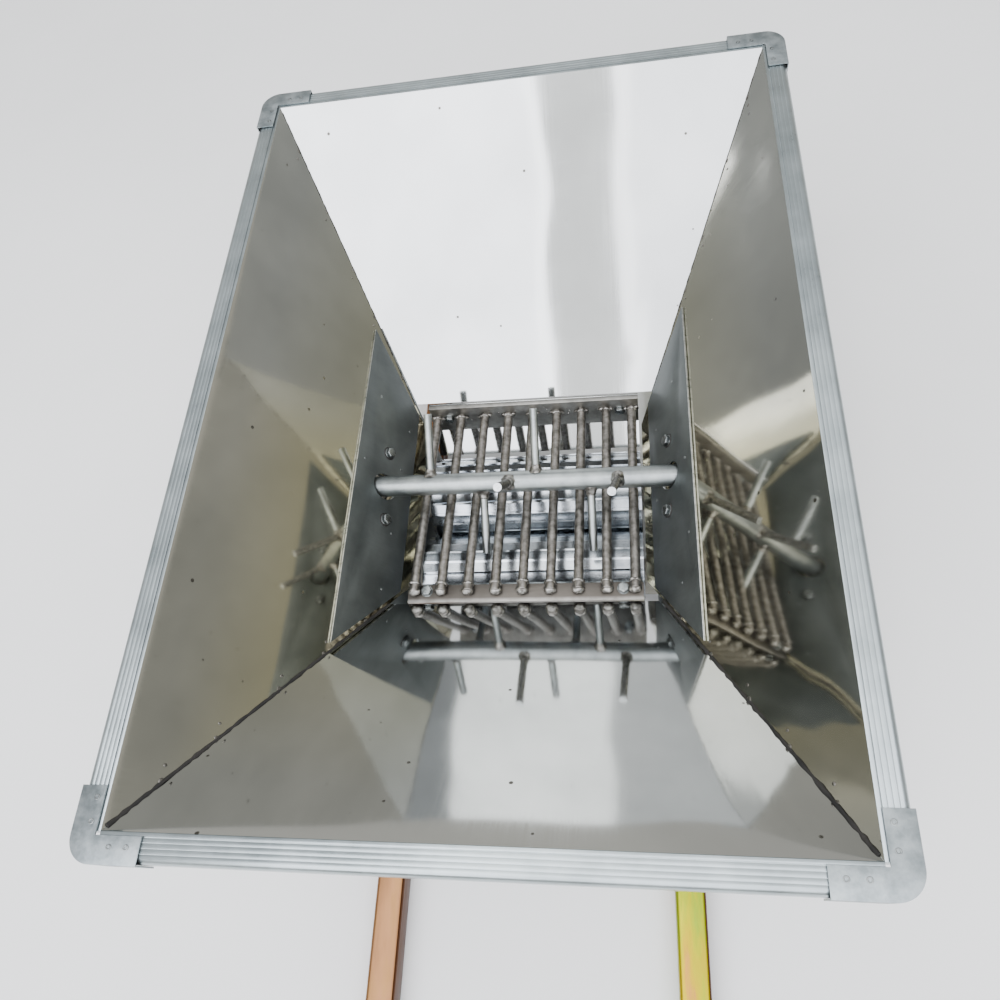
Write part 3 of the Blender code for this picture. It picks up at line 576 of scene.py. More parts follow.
FINISHES = {
    # Mirror-polished sheets: the side ones a little golden towards their feet, a painted reflection
    # of the warm horizon
    "mirror_side": tinted(
        polished_sheet("mirror_polished_stainless_side", (14, 1100, 14), "#B1B0A8", "#CBC9BF"),
        "Z", 0.36, 0.24, "#C9C2A0", 0.6,
    ),
    "mirror_end": polished_sheet(
        "mirror_polished_stainless_end", (1100, 14, 14), "#B2B4B3", "#C9CBCA"
    ),
    # Clear anodising over an extrusion: a soft silver sheen with die lines along the bar
    "anodised_long": anodised("clear_anodised_aluminium_long", (1500, 9, 1500)),
    "anodised_cross": anodised("clear_anodised_aluminium_cross", (9, 1500, 1500)),
    # Pressed stainless, tumbled after stamping: cloudy satin with fine swirls
    "pressed": bare_metal(
        "stamped_stainless_cap", "#7F8789", "#A4ABAD", (0.3, 0.5), 0.013, (420, 420, 420), 0.00003
    ),
    # Cold-rolled sheet left as it came: an even mid grey that blurs what it reflects
    "rolled": bare_metal(
        "cold_rolled_steel_sheet", "#636867", "#757A79", (0.48, 0.58), 0.05, (60, 900, 60), 0.000008
    ),
    # The sheared edge of that sheet, brighter than its faces
    "sheared": bare_metal(
        "sheared_steel_edge", "#A9ADAD", "#D5D8D8", (0.22, 0.4), 0.006, (900, 900, 900), 0.00002
    ),
    # Drawn bar with mill scale rubbed back: brown-grey, dull and faintly pitted
    "drawn": bare_metal(
        "drawn_steel_rod", "#706C67", "#A5A19B", (0.32, 0.5), 0.006, (700, 160, 700), 0.00008
    ),
    # Flat bar with the same scale, browned by the welding along its inner half
    "flat_bar": tinted(
        bare_metal(
            "hot_rolled_flat_bar", "#7E7B76", "#9B9893", (0.3, 0.5), 0.016, (90, 700, 700), 0.00004
        ),
        "Y", -0.1252, -0.1225, "#57524C",
    ),
    # Flat bar ground clean: a light, slightly scratched grey
    "clean_bar": bare_metal(
        "ground_flat_bar", "#8B8984", "#A9A7A2", (0.34, 0.5), 0.012, (90, 700, 700), 0.00004
    ),
    # Bead-blasted shaft: a pale silver that breaks up highlights
    "satin": bare_metal(
        "bead_blasted_steel_shaft", "#8E9393", "#A9AEAD", (0.3, 0.44), 0.02, (420, 700, 700), 0.00003
    ),
    # Weld metal, wire-brushed: bright lumps with grey hollows
    "weld": bare_metal(
        "wire_brushed_weld", "#5E5B56", "#B0AEA9", (0.25, 0.5), 0.004, (900, 900, 900), 0.00012
    ),
    # Threads cut in the same bar, dark with oil in their roots
    "thread": bare_metal(
        "oiled_steel_thread", "#4E4D4A", "#8B8B88", (0.25, 0.5), 0.003, (900, 900, 900), 0.00004
    ),
    # Heat-marked tacks on polished sheet: small dull grey spots
    "tack": bare_metal(
        "heat_marked_tack", "#55524D", "#8C8983", (0.35, 0.6), 0.003, (900, 900, 900), 0.00004
    ),
    # Milled aluminium: bright, with cutter lines along each land
    "milled": bare_metal(
        "milled_aluminium_roller", "#9BA1A6", "#C3C8CC", (0.1, 0.2), 0.03, (25, 1300, 1300), 0.0000012
    ),
    # Turned aluminium: rings round the axis
    "turned": bare_metal(
        "turned_aluminium_pulley", "#AEB3B6", "#CDD1D3", (0.2, 0.38), 0.03, (1600, 300, 300), 0.00002
    ),
    # Bright zinc plating over forged or turned steel
    "zinc": bare_metal(
        "bright_zinc_plated_steel", "#6C7070", "#999D9C", (0.2, 0.42), 0.008, (500, 500, 500), 0.00003
    ),
    # Passivated tube: tan and yellow-green; the brown on the faces away from the light is painted
    # shade
    "passivated": passivated_rail("tan_passivated_zinc_tube", ("#7E5B3E", "#8A6444", "#86663A")),
    "iridescent": passivated_rail(
        "iridescent_passivated_zinc_tube", ("#A8703F", "#A58B12", "#9C9408", "#82941E", "#9A7230")
    ),
    "painted_shade": passivated_rail("painted_shade_zinc_tube", ("#4A2F1E", "#5C3B26")),
    # Moulded polypropylene: near black with a fine leathery grain
    "black": moulded(
        "moulded_black_polypropylene", "#141415", "#222224", (0.38, 0.6), 0.0011, 0.00005
    ),
    # Machined cast nylon: off-white, waxy, with cutter marks
    "nylon": moulded("machined_cast_nylon", "#CFCABB", "#E9E5DA", (0.35, 0.55), 0.0016, 0.00004),
    # Fabric-backed rubber: charcoal with a fine cloth grain
    "rubber": moulded("fabric_faced_rubber", "#1B1B1D", "#2C2C2E", (0.7, 0.9), 0.0009, 0.00012),
    # Dirt and burnt oil drawn into joints; the same dark finish makes the painted shadow rings round
    # the stiffener bolts
    "seam": moulded("burnt_seam_dirt", "#0E0D0C", "#2A2724", (0.5, 0.9), 0.002, 0.0002),
}

SLOT_FINISH = {
    "mirror_steel": "mirror_end",
    "anodised_rim": "anodised_long",
    "stamped_cap": "pressed",
    "matte_steel": "rolled",
    "rod_steel": "drawn",
    "strip_steel": "flat_bar",
    "satin_steel": "satin",
    "cast_aluminium": "turned",
    "zinc_yellow": "passivated",
    "black_plastic": "black",
    "white_nylon": "nylon",
    "belt_rubber": "rubber",
    "bolt_zinc": "zinc",
}
NODE_FINISH = {
    "hopper_left": "mirror_side",
    "hopper_right": "mirror_side",
    "rim_front": "anodised_cross",
    "rim_back": "anodised_cross",
    "roller_front": "milled",
    "roller_back": "milled",
}

for node_name, node in frame["nodes"].items():
    for place in node.material_slots:
        place.material = FINISHES[NODE_FINISH.get(node_name, SLOT_FINISH[SLOTS[node_name]])]


# ---------------------------------------------------------------- camera, floor and light


def set_camera():
    """The camera, with its place, direction and lens."""
    bpy.ops.object.camera_add(location=CAMERA_PLACE)
    camera = bpy.context.active_object
    camera.name = "camera"
    camera.data.lens = CAMERA_LENS
    camera.data.sensor_width = CAMERA_SENSOR
    right = CAMERA_FORWARD.cross(CAMERA_UP)
    turn = Matrix((right, CAMERA_UP, -CAMERA_FORWARD)).transposed()
    camera.rotation_euler = turn.to_euler()
    camera.data.clip_start = 0.01
    bpy.context.scene.camera = camera


def lay_floor():
    """A plain pale floor under the rails."""
    floor = start("floor", bpy.ops.mesh.primitive_plane_add, size=14, location=(0, 0, -0.0005))
    material = moulded("matt_painted_floor", "#F4F4F3", "#FAFAF9", (0.8, 0.95), 0.02, 0.00002, 0.8)
    floor.data.materials.append(material)


def add_softbox(name, place, target, size, power, colour="#FFFFFF"):
    """A soft rectangular studio light, aimed at a point."""
    clear_selection()
    bpy.ops.object.light_add(type="AREA", location=place)
    light = bpy.context.active_object
    light.name = name
    light.data.shape = "RECTANGLE"
    light.data.size, light.data.size_y = size
    light.data.energy = power
    light.data.color = linear(colour)[:3]
    aim = Vector(target) - Vector(place)
    light.rotation_euler = aim.to_track_quat("-Z", "Y").to_euler()


def light_room():
    """A pale studio room: brighter overhead, a little greyer towards the horizon."""
    world = bpy.data.worlds.new("studio")
    bpy.context.scene.world = world
    world.use_nodes = True
    tree = world.node_tree
    tree.nodes.clear()
    coords = add_node(tree, "ShaderNodeTexCoord").outputs["Generated"]
    height = add_node(tree, "ShaderNodeSeparateXYZ", None, {0: coords})
    rise = add_node(
        tree,
        "ShaderNodeMapRange",
        {"From Min": -0.1, "From Max": 0.75},
        {"Value": height.outputs["Z"]},
    )
    shade = add_node(
        tree,
        "ShaderNodeMix",
        {MIX_A: linear("#D3D0C6"), MIX_B: linear("#E6E9ED")},
        {0: rise.outputs[0]},
        data_type="RGBA",
    )
    glow = add_node(
        tree, "ShaderNodeBackground", {"Strength": 1.05}, {"Color": shade.outputs[MIX_RESULT]}
    )
    add_node(tree, "ShaderNodeOutputWorld", None, {"Surface": glow.outputs[0]})
    add_softbox("softbox_front_left", (-1.4, -1.8, 2.8), (-1.4, 0, 0.3), (2.2, 3.2), 120, "#F7F8FF")
    add_softbox("softbox_front_right", (1.15, -1.8, 2.8), (1.15, 0, 0.3), (2.2, 3.2), 85, "#F7F8FF")
    add_softbox("softbox_front_fill", (-0.12, -1.85, 2.85), (-0.12, 0, 0.3), (0.5, 3.2), 7)
    add_softbox("softbox_top_left", (-0.46, 0.6, 3.2), (-0.46, 0.601, 0), (0.78, 3.2), 31)
    add_softbox("softbox_top_right", (1.04, 0.6, 3.2), (1.04, 0.601, 0), (2.22, 3.2), 23)


set_camera()
lay_floor()
light_room()


# ---------------------------------------------------------------- hopper sheets


def flat_sheet(name, corners):
    """A flat four-cornered sheet: a plane whose corners are moved one by one."""
    sheet = start(name, bpy.ops.mesh.primitive_plane_add, size=2 * PLANE)
    for sign, target in zip(((-1, -1), (1, -1), (1, 1), (-1, 1)), corners):
        old = Vector((PLANE * sign[0], PLANE * sign[1], 0))
        select(sheet, "VERT", lambda place, _, old=old: (place - old).length < NEAR)
        bpy.ops.transform.translate(value=tuple(target - old))
        close()
    return sheet


def face_to(sheet, inwards):
    """Turns a sheet's faces to look inwards."""
    if sum((face.normal for face in sheet.data.polygons), Vector()).dot(inwards) < 0:
        sheet.data.flip_normals()


def drill_for_shaft(sheet, x, vertices):
    """Drills the hole that the agitator's shaft passes through."""
    cutter = start(
        "hole",
        bpy.ops.mesh.primitive_cylinder_add,
        vertices=vertices,
        radius=SHAFT_HOLE,
        depth=HOLE_REACH,
        location=(x, AGITATOR.y, AGITATOR.z),
        rotation=(0, pi / 2, 0),
    )
    cut(sheet, cutter)


def wall_sheet(name, node, corners, inwards, finish, hole=False):
    """One hopper wall: a polished sheet that ripples slightly between its fixed edges."""
    sheet = flat_sheet(name, corners)
    whole(sheet)
    bpy.ops.mesh.subdivide(number_cuts=SHEET_CUTS)
    close()
    edges = [(corners[i], corners[(i + 1) % 4]) for i in range(4)]
    free = sheet.vertex_groups.new(name="free")
    for vertex in sheet.data.vertices:
        reach = min(distance_to_edge(vertex.co, *edge) for edge in edges)
        share = min(reach / WAVE_FREE, 1)
        free.add([vertex.index], share * share * (3 - 2 * share), "REPLACE")
    modify(
        sheet,
        "DISPLACE",
        texture=lump_texture(WAVE_WIDTH, 1),
        strength=WAVE_DEPTH,
        mid_level=0.5,
        texture_coords="LOCAL",
        vertex_group="free",
    )
    sheet.vertex_groups.clear()
    face_to(sheet, inwards)
    modify(sheet, "SOLIDIFY", thickness=SHEET, offset=-1)
    if hole:
        drill_for_shaft(sheet, (corners[0].x + corners[2].x) / 2, 48)
    smooth(sheet, 30)
    return fit(sheet, FINISHES[finish], BODY, "mirror_steel", node)


def distance_to_edge(place, a, b):
    """How far a point is from the line through two corners."""
    along = (b - a).normalized()
    return ((place - a) - along * (place - a).dot(along)).length


def reach_rim(foot, top):
    """A wall's top corner carried on up its slope to just under the rim's lip."""
    rim_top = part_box("rim_left")[1].z - UNDER_LIP
    return foot.lerp(top, (rim_top - foot.z) / (top.z - foot.z))


def build_hopper():
    """The four walls, each from the inner corners of its node and up to the rim."""
    for side, name in ((-1, "left"), (1, "right")):
        node = f"hopper_{name}"
        corners = [
            corner(node, -side * 3, -1, -10),
            corner(node, -side * 3, 1, -10),
            corner(node, -side, 0.1, 10),
            corner(node, -side, -0.1, 10),
        ]
        corners[2:] = reach_rim(corners[1], corners[2]), reach_rim(corners[0], corners[3])
        wall_sheet(f"wall_{name}", node, corners, Vector((-side, 0, 0.5)), "mirror_side", hole=True)
    for end, name in ((-1, "front"), (1, "back")):
        node = f"hopper_{name}"
        corners = [
            corner(node, -1, -end * 3, -10),
            corner(node, 1, -end * 3, -10),
            corner(node, 0.1, -end, 10),
            corner(node, -0.1, -end, 10),
        ]
        corners[2:] = reach_rim(corners[1], corners[2]), reach_rim(corners[0], corners[3])
        wall_sheet(f"wall_{name}", node, corners, Vector((0, -end, 0.5)), "mirror_end")


# ---------------------------------------------------------------- rim


def rim_bar(length):
    """A rim extrusion along Y about the origin with its inner side towards +X: a rounded outer
    edge, a thin lip along the inside, fine die grooves on top and an open underside."""
    low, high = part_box("rim_left")
    width, height = high.x - low.x, high.z - low.z
    bar = start("rim_pattern", bpy.ops.mesh.primitive_cube_add, size=1, scale=(width, length, height))
    grooves = [(at, FINE_GROOVE, FINE_GROOVE_DEPTH) for at in FINE_GROOVES]
    grooves.append((width - LIP - LIP_GROOVE, LIP_GROOVE, LIP_GROOVE_DEPTH))
    for at, wide, _ in grooves:
        for x in (at, at + wide):
            whole(bar)
            bpy.ops.mesh.bisect(plane_co=(x - width / 2, 0, 0), plane_no=(1, 0, 0))
            close()
    for at, wide, deep in grooves:
        middle = at + wide / 2 - width / 2

        def is_groove(place, normal, middle=middle, wide=wide):
            return normal.z > 0.9 and abs(place.x - middle) < wide / 2

        select(bar, "FACE", is_groove)
        extrude((0, 0, -deep))
        close()
    select(bar, "FACE", lambda place, normal: normal.z < -0.9)
    bpy.ops.mesh.inset(thickness=RIM_WALL)
    extrude((0, 0, height - 2 * RIM_WALL))
    close()

    def is_outer_edge(place, along):
        return abs(along.y) > 0.9 and place.x < NEAR - width / 2 and place.z > height / 2 - NEAR

    select(bar, "EDGE", is_outer_edge)
    bpy.ops.mesh.bevel(offset=RIM_EDGE, segments=6, affect="EDGES")
    close()
    soften(bar, 0.00022, 2)
    return bar


def build_rim():
    """Four lengths of the same extrusion, lying between the corner caps."""
    turns = {"left": 0, "front": 90, "right": 180, "back": 270}
    for name, degrees in turns.items():
        node = f"rim_{name}"
        low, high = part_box(node)
        size = high - low
        along_y = size.y > size.x
        pattern = rim_bar(size.y if along_y else size.x)
        turn = Matrix.Translation((low + high) / 2) @ Matrix.Rotation(radians(degrees), 4, "Z")
        bar = copied(pattern, f"rim_extrusion_{name}", turn)
        discard(pattern)
        finish = FINISHES["anodised_long" if along_y else "anodised_cross"]
        fit(bar, finish, BODY, "anodised_rim", node)


def rivet():
    """A blind rivet's head about the origin: a low rounded disc with the break hollow in it."""
    head = start(
        "rivet_pattern",
        bpy.ops.mesh.primitive_cylinder_add,
        vertices=20,
        radius=RIVET_RADIUS,
        depth=RIVET_HEIGHT * 2,
    )
    select(head, "FACE", lambda place, normal: normal.z > 0.9)
    bpy.ops.mesh.inset(thickness=RIVET_RADIUS * 0.5)
    extrude((0, 0, -RIVET_HEIGHT * 0.9))
    close()
    soften(head, RIVET_HEIGHT * 0.4, 2)
    return head


def build_corner_caps():
    """Pressed caps over the rim's corners, each with a skirt and four rivets."""
    low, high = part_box("rim_cap_back_right")
    mouth = Vector((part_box("rim_right")[0].x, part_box("rim_back")[0].y, 0))
    inner = mouth + Vector((LIP, LIP, 0))
    square = high - inner
    centre = ((inner.x + high.x) / 2, (inner.y + high.y) / 2, high.z)
    plate = start("cap_pattern", bpy.ops.mesh.primitive_plane_add, size=1, location=centre)
    whole(plate)
    bpy.ops.transform.resize(value=(square.x, square.y, 1), center_override=centre)
    close()
    select(plate, "EDGE", lambda place, _: abs(place.y - inner.y) < NEAR)
    extrude((0, low.y - inner.y, 0))
    close()
    select(plate, "EDGE", lambda place, _: abs(place.x - inner.x) < NEAR and place.y > inner.y)
    extrude((low.x - inner.x, 0, 0))
    close()
    whole(plate)
    bpy.ops.mesh.dissolve_faces()
    close()
    radius = high.x - mouth.x
    select(plate, "VERT", lambda place, _: place.x > high.x - NEAR and place.y > high.y - NEAR)
    bpy.ops.mesh.bevel(offset=radius, segments=12, affect="VERTICES")
    close()

    def is_outside(place, _):
        off = place - mouth
        on_arc = off.x > 0 and off.y > 0 and hypot(off.x, off.y) > radius - 0.0008
        return on_arc or place.x > high.x - NEAR or place.y > high.y - NEAR

    select(plate, "EDGE", is_outside)
    extrude((0, 0, low.z - high.z))
    close()
    whole(plate)
    bpy.ops.mesh.remove_doubles(threshold=0.00001)
    bpy.ops.mesh.normals_make_consistent(inside=False)
    close()
    if max(plate.data.polygons, key=lambda face: face.area).normal.z < 0:
        plate.data.flip_normals()
    modify(plate, "SOLIDIFY", thickness=CAP_SHEET, offset=-1)
    soften(plate, 0.0009, 3, 40)
    head = rivet()
    for side, hand in ((-1, "left"), (1, "right")):
        for end, word in ((-1, "front"), (1, "back")):
            flip = Matrix.Diagonal((side, end, 1, 1))
            node = f"rim_cap_{word}_{hand}"
            cap = copied(plate, f"corner_cap_{word}_{hand}", flip)
            fit(cap, FINISHES["pressed"], BODY, "stamped_cap", node)
            height = high.z - RIVET_HEIGHT / 3
            heads = [
                copied(head, "rivet", Matrix.Translation((side * x, end * y, height)))
                for x, y in RIVET_SPOTS
            ]
            fit(joined(f"cap_rivets_{word}_{hand}", heads), FINISHES["zinc"], BODY, "bolt_zinc")
    discard(plate, head)


# ---------------------------------------------------------------- agitator


def rod_along_z(name, radius, low, high, vertices=24):
    """A round bar on the Z axis from one height to another."""
    return start(
        name,
        bpy.ops.mesh.primitive_cylinder_add,
        vertices=vertices,
        radius=radius,
        depth=high - low,
        location=(0, 0, (low + high) / 2),
    )


def ring_cuts(piece, cuts):
    """Cuts a bar that stands on Z into so many rings."""
    select(piece, "EDGE", lambda _, along: abs(along.z) > 0.99)
    bpy.ops.mesh.subdivide(number_cuts=cuts)
    close()


def threaded_peg():
    """A peg cut from threaded bar: fine ridges with a faced-off end."""
    low, high = PEG_ROOT, PEG_REACH
    peg = rod_along_z("threaded_peg_pattern", PEG_RADIUS, low, high, 20)
    peg.data.materials.append(FINISHES["thread"])
    peg.data.materials.append(FINISHES["sheared"])
    rings = 2 * int((high - low) / THREAD_PITCH)
    ring_cuts(peg, rings - 1)
    step = (high - low) / rings

    def is_root(place, _):
        return round((place.z - low) / step) % 2 == 1

    select(peg, "VERT", is_root)
    share = 1 - THREAD_DEPTH / PEG_RADIUS
    bpy.ops.transform.resize(value=(share, share, 1), center_override=(0, 0, 0))
    close()
    for face in peg.data.polygons:
        face.material_index = int(face.center.z > high - NEAR)
    smooth(peg, 60)
    return peg


def plain_peg():
    """A smooth peg with its end's edge taken off."""
    peg = rod_along_z("peg_pattern", PEG_RADIUS, PEG_ROOT, PEG_REACH, 28)
    soften(peg, 0.0006, 2)
    return peg


def fillet_weld():
    """A fillet weld round a peg's foot: a short lumpy cone that flares on to the shaft."""
    weld = start(
        "fillet_pattern",
        bpy.ops.mesh.primitive_cone_add,
        vertices=28,
        radius1=PEG_RADIUS * 2.1,
        radius2=PEG_RADIUS * 1.04,
        depth=FILLET,
        location=(0, 0, SHAFT_RADIUS + 0.0018),
    )
    select(weld, "EDGE", lambda _, along: abs(along.z) > 0.4)
    bpy.ops.mesh.subdivide(number_cuts=5)
    close()

    def is_waist(place, _):
        return SHAFT_RADIUS < place.z < SHAFT_RADIUS + 0.004 and hypot(place.x, place.y) > 0.001

    select(weld, "VERT", is_waist)
    bpy.ops.transform.resize(value=(0.9, 0.9, 1), center_override=(0, 0, 0))
    close()
    return weld


def build_agitator():
    """The shaft, its welded pegs and their fillets."""
    low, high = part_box("agitator_shaft")
    shaft = rod_along_z("agitator_bar", SHAFT_RADIUS, low.x, high.x, 72)
    soften(shaft, 0.0012, 3)
    shaft.data.transform(turned_to((1, 0, 0), (0, AGITATOR.y, AGITATOR.z)))
    fit(shaft, FINISHES["satin"], "agitator", "satin_steel", "agitator_shaft")
    patterns = (plain_peg(), threaded_peg(), fillet_weld())
    pegs, studs, welds = [], [], []
    for i in range(PEG_COUNT):
        turn, lean = BEND if i == BENT_PEG else (0, 0)
        angle = PEG_PHASE + PEG_STEP * i + turn
        place = ((i - (PEG_COUNT - 1) / 2) * PEG_PITCH, AGITATOR.y, AGITATOR.z)
        aim = turned_to((lean, cos(angle), sin(angle)), place)
        if i in THREADED_PEGS:
            studs.append(copied(patterns[1], "stud", aim))
        else:
            pegs.append(copied(patterns[0], "peg", aim))
        weld = copied(patterns[2], "weld", aim)
        roughen(weld, 0.0035, 0.0016)
        smooth(weld, 50)
        welds.append(weld)
    fit(joined("agitator_pegs", pegs), FINISHES["satin"], "agitator", "satin_steel")
    fit(joined("agitator_threaded_pegs", studs), None, "agitator", "satin_steel")
    fit(joined("agitator_welds", welds), FINISHES["weld"], "agitator", "satin_steel")
    discard(*patterns)


# ---------------------------------------------------------------- grate


def hex_bolt():
    """An M6 hex head on a thin washer, standing on the origin."""
    washer = rod_along_z("washer", WASHER_RADIUS, WASHER_FOOT, WASHER_TOP, 28)
    soften(washer, 0.0003, 1)
    head = start(
        "head",
        bpy.ops.mesh.primitive_cylinder_add,
        vertices=6,
        radius=HEAD_RADIUS,
        depth=HEAD_HEIGHT,
        location=(0, 0, WASHER_TOP + HEAD_HEIGHT / 2),
    )
    select(head, "FACE", lambda place, normal: normal.z > 0.9)
    bpy.ops.mesh.bevel(offset=0.0007, segments=1, affect="EDGES")
    close()
    soften(head, 0.00025, 2, 25)
    return joined("bolt_pattern", [washer, head])


def bead(name, across, along, height):
    """A lump of weld metal about the origin."""
    blob = start(name, bpy.ops.mesh.primitive_ico_sphere_add, subdivisions=3, radius=1)
    blob.data.transform(Matrix.Diagonal((across, along, height, 1)))
    return blob


def rod_line(node):
    """The middles of a grate rod's front and back ends."""
    spots = [v.co for v in frame["nodes"][node].data.vertices]
    ends = []
    for sign in (-1, 1):
        ring = [spot for spot in spots if spot.y * sign > 0]
        ends.append(sum(ring, Vector()) / len(ring))
    return ends


def build_grate():
    """Nine drawn rods welded at both ends to flat bars, with their weld beads and spatter; the bolts
    that hold the bars are made in build_bolts.
    """
    front, back = rod_line("grate_rod_1")
    length = (back - front).length
    along = (back - front).normalized()
    rod = rod_along_z("rod_pattern", ROD_RADIUS, 0, length, 28)
    ring_cuts(rod, 60)
    soften(rod, 0.0006, 1, 60)
    collar = start(
        "collar_pattern",
        bpy.ops.mesh.primitive_torus_add,
        major_radius=ROD_RADIUS,
        minor_radius=0.0015,
        major_segments=32,
        minor_segments=10,
    )
    foot = bead("foot_pattern", 0.0066, 0.0050, 0.0048)
    side = bead("side_pattern", 0.0042, 0.0022, 0.0034)
    chance = Random(7)
    round_rod = turned_to(along, (0, 0, 0))
    beads = []
    for i in range(1, ROD_COUNT + 1):
        node = f"grate_rod_{i}"
        front, back = rod_line(node)
        bar = copied(rod, f"drawn_rod_{i}", turned_to(along, front))
        roughen(bar, 0.045, 0.0006)
        roughen(bar, 0.006, 0.0005)
        smooth(bar, 50)
        fit(bar, FINISHES["drawn"], BODY, "rod_steel", node)
        for pattern, spot, turn in (
            (collar, front + along * (FRONT_COLLAR + chance.uniform(-0.001, 0.001)), round_rod),
            (foot, front + Vector((chance.uniform(-0.001, 0.001), 0.0015, -0.0022)), Matrix()),
            (collar, back - along * (BACK_COLLAR + chance.uniform(0, 0.001)), round_rod),
            (side, back + Vector((0.0045, -0.0012, chance.uniform(-0.002, 0.002))), Matrix()),
            (side, back + Vector((-0.0045, -0.0012, chance.uniform(-0.002, 0.002))), Matrix()),
        ):
            weld = copied(pattern, "bead", Matrix.Translation(spot) @ turn)
            roughen(weld, 0.003, 0.0016)
            smooth(weld, 60)
            beads.append(weld)
    fit(joined("grate_weld_beads", beads), FINISHES["weld"], BODY, "rod_steel")
    discard(rod, collar, foot, side)
    for name in ("grate_strip_front", "grate_strip_back"):
        low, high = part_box(name)
        bar = start(
            name.replace("grate_strip", "flat_bar"),
            bpy.ops.mesh.primitive_cube_add,
            size=1,
            location=(low + high) / 2,
            scale=high - low,
        )
        soften(bar, 0.0006, 2)
        finish = FINISHES["flat_bar" if name == "grate_strip_front" else "clean_bar"]
        fit(bar, finish, BODY, "strip_steel", name)
    low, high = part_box("grate_strip_back")
    specks = []
    pattern = start("speck_pattern", bpy.ops.mesh.primitive_ico_sphere_add, subdivisions=2, radius=1)
    for _ in range(SPATTER_COUNT):
        size = chance.uniform(0.0004, 0.0013)
        x = chance.gauss(*SPATTER_X)
        if abs(x) > high.x - 0.004:
            continue
        z = min(high.z - 0.003, chance.gauss(*SPATTER_Z))
        spread = Matrix.Diagonal((size, size * 0.6, size * chance.uniform(0.7, 1.3), 1))
        specks.append(copied(pattern, "speck", Matrix.Translation((x, low.y, z)) @ spread))
    fit(joined("weld_spatter", specks), FINISHES["weld"], BODY, "strip_steel")
    discard(pattern)


def build_bolts():
    """Hex bolts through the grate's bars and the side stiffeners, the latter in dark rings of painted
    shadow.
    """
    pattern = hex_bolt()
    ring = start(
        "ring_pattern",
        bpy.ops.mesh.primitive_torus_add,
        major_radius=PAINTED_SHADOW_RING[0],
        minor_radius=PAINTED_SHADOW_RING[1],
        major_segments=28,
        minor_segments=6,
    )
    rings = []
    front_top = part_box("grate_strip_front")[1].z
    back_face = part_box("grate_strip_back")[0].y
    places = []
    for side in (-1, 1):
        places.append(turned_to((0, -1, 0), (side * BACK_BOLT[0], back_face, BACK_BOLT[1])))
        places.append(turned_to((0, 0, 1), (side * FRONT_BOLT[0], FRONT_BOLT[1], front_top)))
        for y, z in PLATE_BOLTS:
            places.append(on_stiffener(side, y, z))
            rings.append(copied(ring, "ring", places[-1]))
    chance = Random(3)
    bolts = {"left": [], "right": []}
    for matrix in places:
        spin = Matrix.Rotation(chance.uniform(0, pi / 3), 4, "Z")
        bolt = copied(pattern, "bolt", matrix @ spin)
        bolts["left" if bolt.data.vertices[0].co.x < 0 else "right"].append(bolt)
    for hand, pieces in bolts.items():
        fit(joined(f"hex_bolts_{hand}", pieces), FINISHES["zinc"], BODY, "bolt_zinc")
    # The dark rings round the stiffener bolts are painted shadow
    rings = joined("bolt_painted_shadow_rings", rings)
    smooth(rings, 60)
    fit(rings, FINISHES["seam"], BODY, "matte_steel")
    discard(pattern, ring)


# ---------------------------------------------------------------- stiffeners and seams


def stiffener_corners(side):
    """The corners of a stiffener's inner face: foot front and back, then top back and front."""
    node = "stiffener_left" if side < 0 else "stiffener_right"
    weights = ((-side * 3, -1, -10), (-side * 3, 1, -10), (-side, 1, 10), (-side, -1, 10))
    return [corner(node, *weight) for weight in weights]


def on_stiffener(side, y, z):
    """The matrix that stands a piece on a stiffener's inner face, at a Y and Z."""
    foot, _, _, top = stiffener_corners(side)
    lean = (top.x - foot.x) / (top.z - foot.z)
    return turned_to((-side, 0, abs(lean)), (foot.x + lean * (z - foot.z), y, z))


def build_stiffeners():
    """Matte plates on the hopper's sides round the agitator shaft, with bright sheared edges."""
    for side, hand in ((-1, "left"), (1, "right")):
        plate = flat_sheet(f"stiffening_plate_{hand}", stiffener_corners(side))
        face_to(plate, Vector((-side, 0, 0.5)))
        modify(plate, "SOLIDIFY", thickness=STIFFENER, offset=-1)
        facing = plate.data.polygons[0].normal.copy()
        drill_for_shaft(plate, side * STIFFENER_HOLE, 64)
        soften(plate, 0.0004, 2)
        plate.data.materials.append(FINISHES["rolled"])
        plate.data.materials.append(FINISHES["sheared"])
        for face in plate.data.polygons:
            face.material_index = int(abs(face.normal.dot(facing)) <= 0.9)
        fit(plate, None, BODY, "matte_steel", f"stiffener_{hand}")
        pattern = start(
            "dot_pattern",
            bpy.ops.mesh.primitive_uv_sphere_add,
            segments=14,
            ring_count=8,
            radius=PLATE_RIVET,
        )
        low_head = Matrix.Diagonal((1, 1, 0.35, 1))
        dots = [
            copied(pattern, "dot", on_stiffener(side, y, z) @ low_head) for y, z in PLATE_RIVETS[side]
        ]
        dots = joined(f"plate_rivets_{hand}", dots)
        smooth(dots, 60)
        fit(dots, FINISHES["zinc"], BODY, "bolt_zinc")
        discard(pattern)


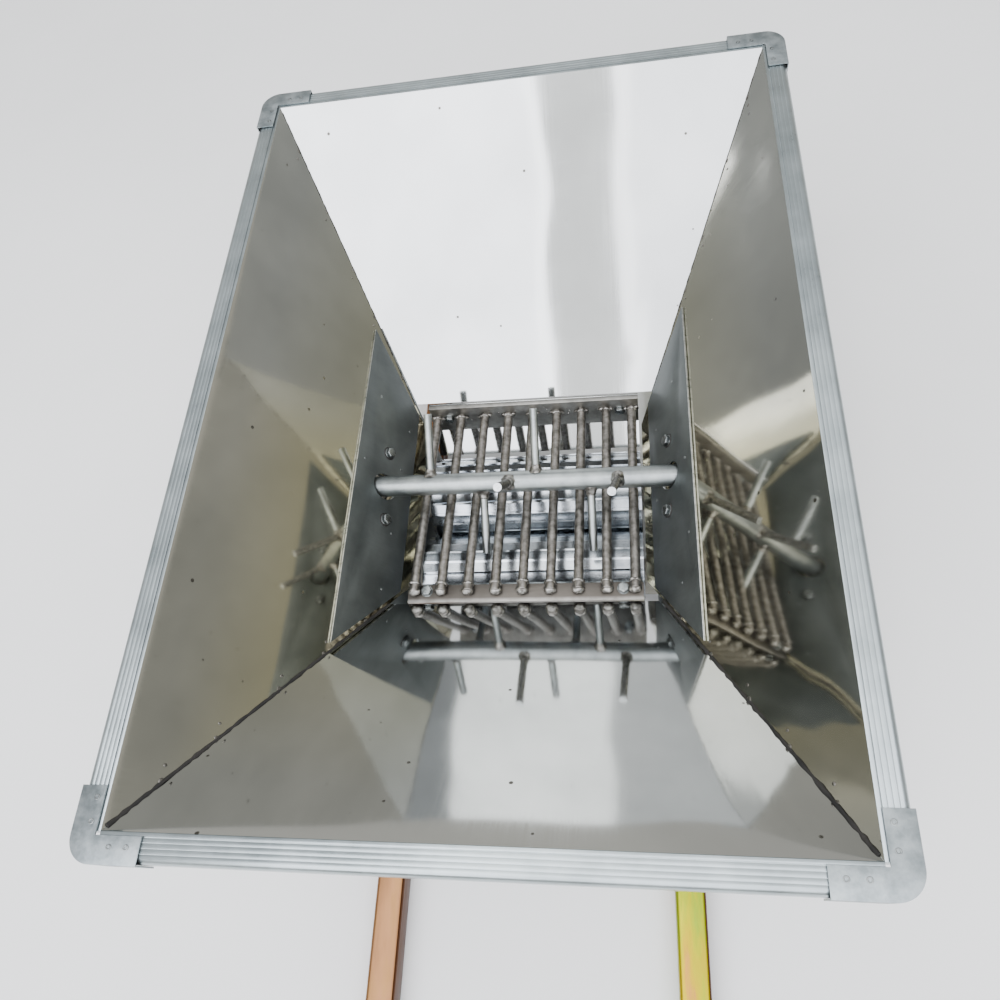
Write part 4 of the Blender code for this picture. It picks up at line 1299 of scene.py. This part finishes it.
def build_seams():
    """Dark joint lines where the walls meet, with the tack marks beside them."""
    chance = Random(11)
    for side, hand in ((-1, "left"), (1, "right")):
        for end, word in ((-1, "front"), (1, "back")):
            node = f"hopper_{word}"
            foot = corner(node, side, -end * 3, -10)
            top = corner(node, side * 0.1, -end, 10)
            radius = FRONT_SEAM if end < 0 else BACK_SEAM
            bar = rod_along_z(f"seam_{word}_{hand}", radius, 0, (top - foot).length, 8)
            ring_cuts(bar, 70)
            bar.data.transform(turned_to(top - foot, foot + Vector((side * 0.0004, end * 0.0004, 0))))
            roughen(bar, 0.005, radius * 1.1)
            smooth(bar, 60)
            fit(bar, FINISHES["seam"], BODY, "mirror_steel")
            inward = Vector((-side, 0, WALL_LEAN)).normalized()
            pattern = start(
                "tack_pattern",
                bpy.ops.mesh.primitive_uv_sphere_add,
                segments=12,
                ring_count=8,
                radius=1,
            )
            tacks = []
            for step in range(TACK_ROWS):
                share = TACK_START + step * TACK_STEP + chance.uniform(-0.02, 0.02)
                spot = foot.lerp(top, share)
                for off, size in TACKS:
                    place = spot + Vector((0, -end * off, 0))
                    shape = Matrix.Diagonal((size * chance.uniform(0.6, 1), size, 0.0005, 1))
                    tacks.append(copied(pattern, "tack", turned_to(inward, place) @ shape))
            tacks = joined(f"tack_marks_{word}_{hand}", tacks)
            smooth(tacks, 60)
            fit(tacks, FINISHES["tack"], BODY, "mirror_steel")
            discard(pattern)


# ---------------------------------------------------------------- softened machine parts


def refined(node, name, finish, slot, edge=0.0004, segments=2, angle=35, shade=35):
    """A copy of a node with its edges eased and its curves smoothed, in the node's place."""
    source = frame["nodes"][node]
    piece = copied(source, name, Matrix())
    piece.parent = None
    for key in list(piece.keys()):
        del piece[key]
    choose(piece)
    bpy.ops.mesh.customdata_custom_splitnormals_clear()
    whole(piece)
    bpy.ops.mesh.remove_doubles(threshold=0.000005)
    bpy.ops.mesh.dissolve_limited(angle_limit=radians(0.5))
    close()
    piece.data.materials.clear()
    soften(piece, edge, segments, angle, shade)
    return fit(piece, FINISHES[finish], BODIES[node], slot, node)


def build_machine():
    """Rollers, rails and drive parts with eased edges."""
    for name in frame["nodes"]:
        if name.startswith(EASED):
            finish = NODE_FINISH.get(name, SLOT_FINISH[SLOTS[name]])
            refined(name, f"eased_{name}", finish, SLOTS[name], angle=30, shade=30)
    for name in ("roller_front", "roller_back"):
        refined(name, f"fluted_{name}", "milled", "cast_aluminium", 0.0002, 1, 10, 8)
    for name, finish in (("rail_left", "passivated"), ("rail_right", "iridescent")):
        rail = refined(name, f"square_{name}", finish, "zinc_yellow", 0.0015, 3)
        # The faces turned towards +X, away from the light, get a darker brown finish: painted shade
        rail.data.materials.append(FINISHES["painted_shade"])
        for face in rail.data.polygons:
            face.material_index = int(face.normal.x > 0.6)


build_hopper()
build_rim()
build_corner_caps()
build_agitator()
build_grate()
build_bolts()
build_stiffeners()
build_seams()
build_machine()
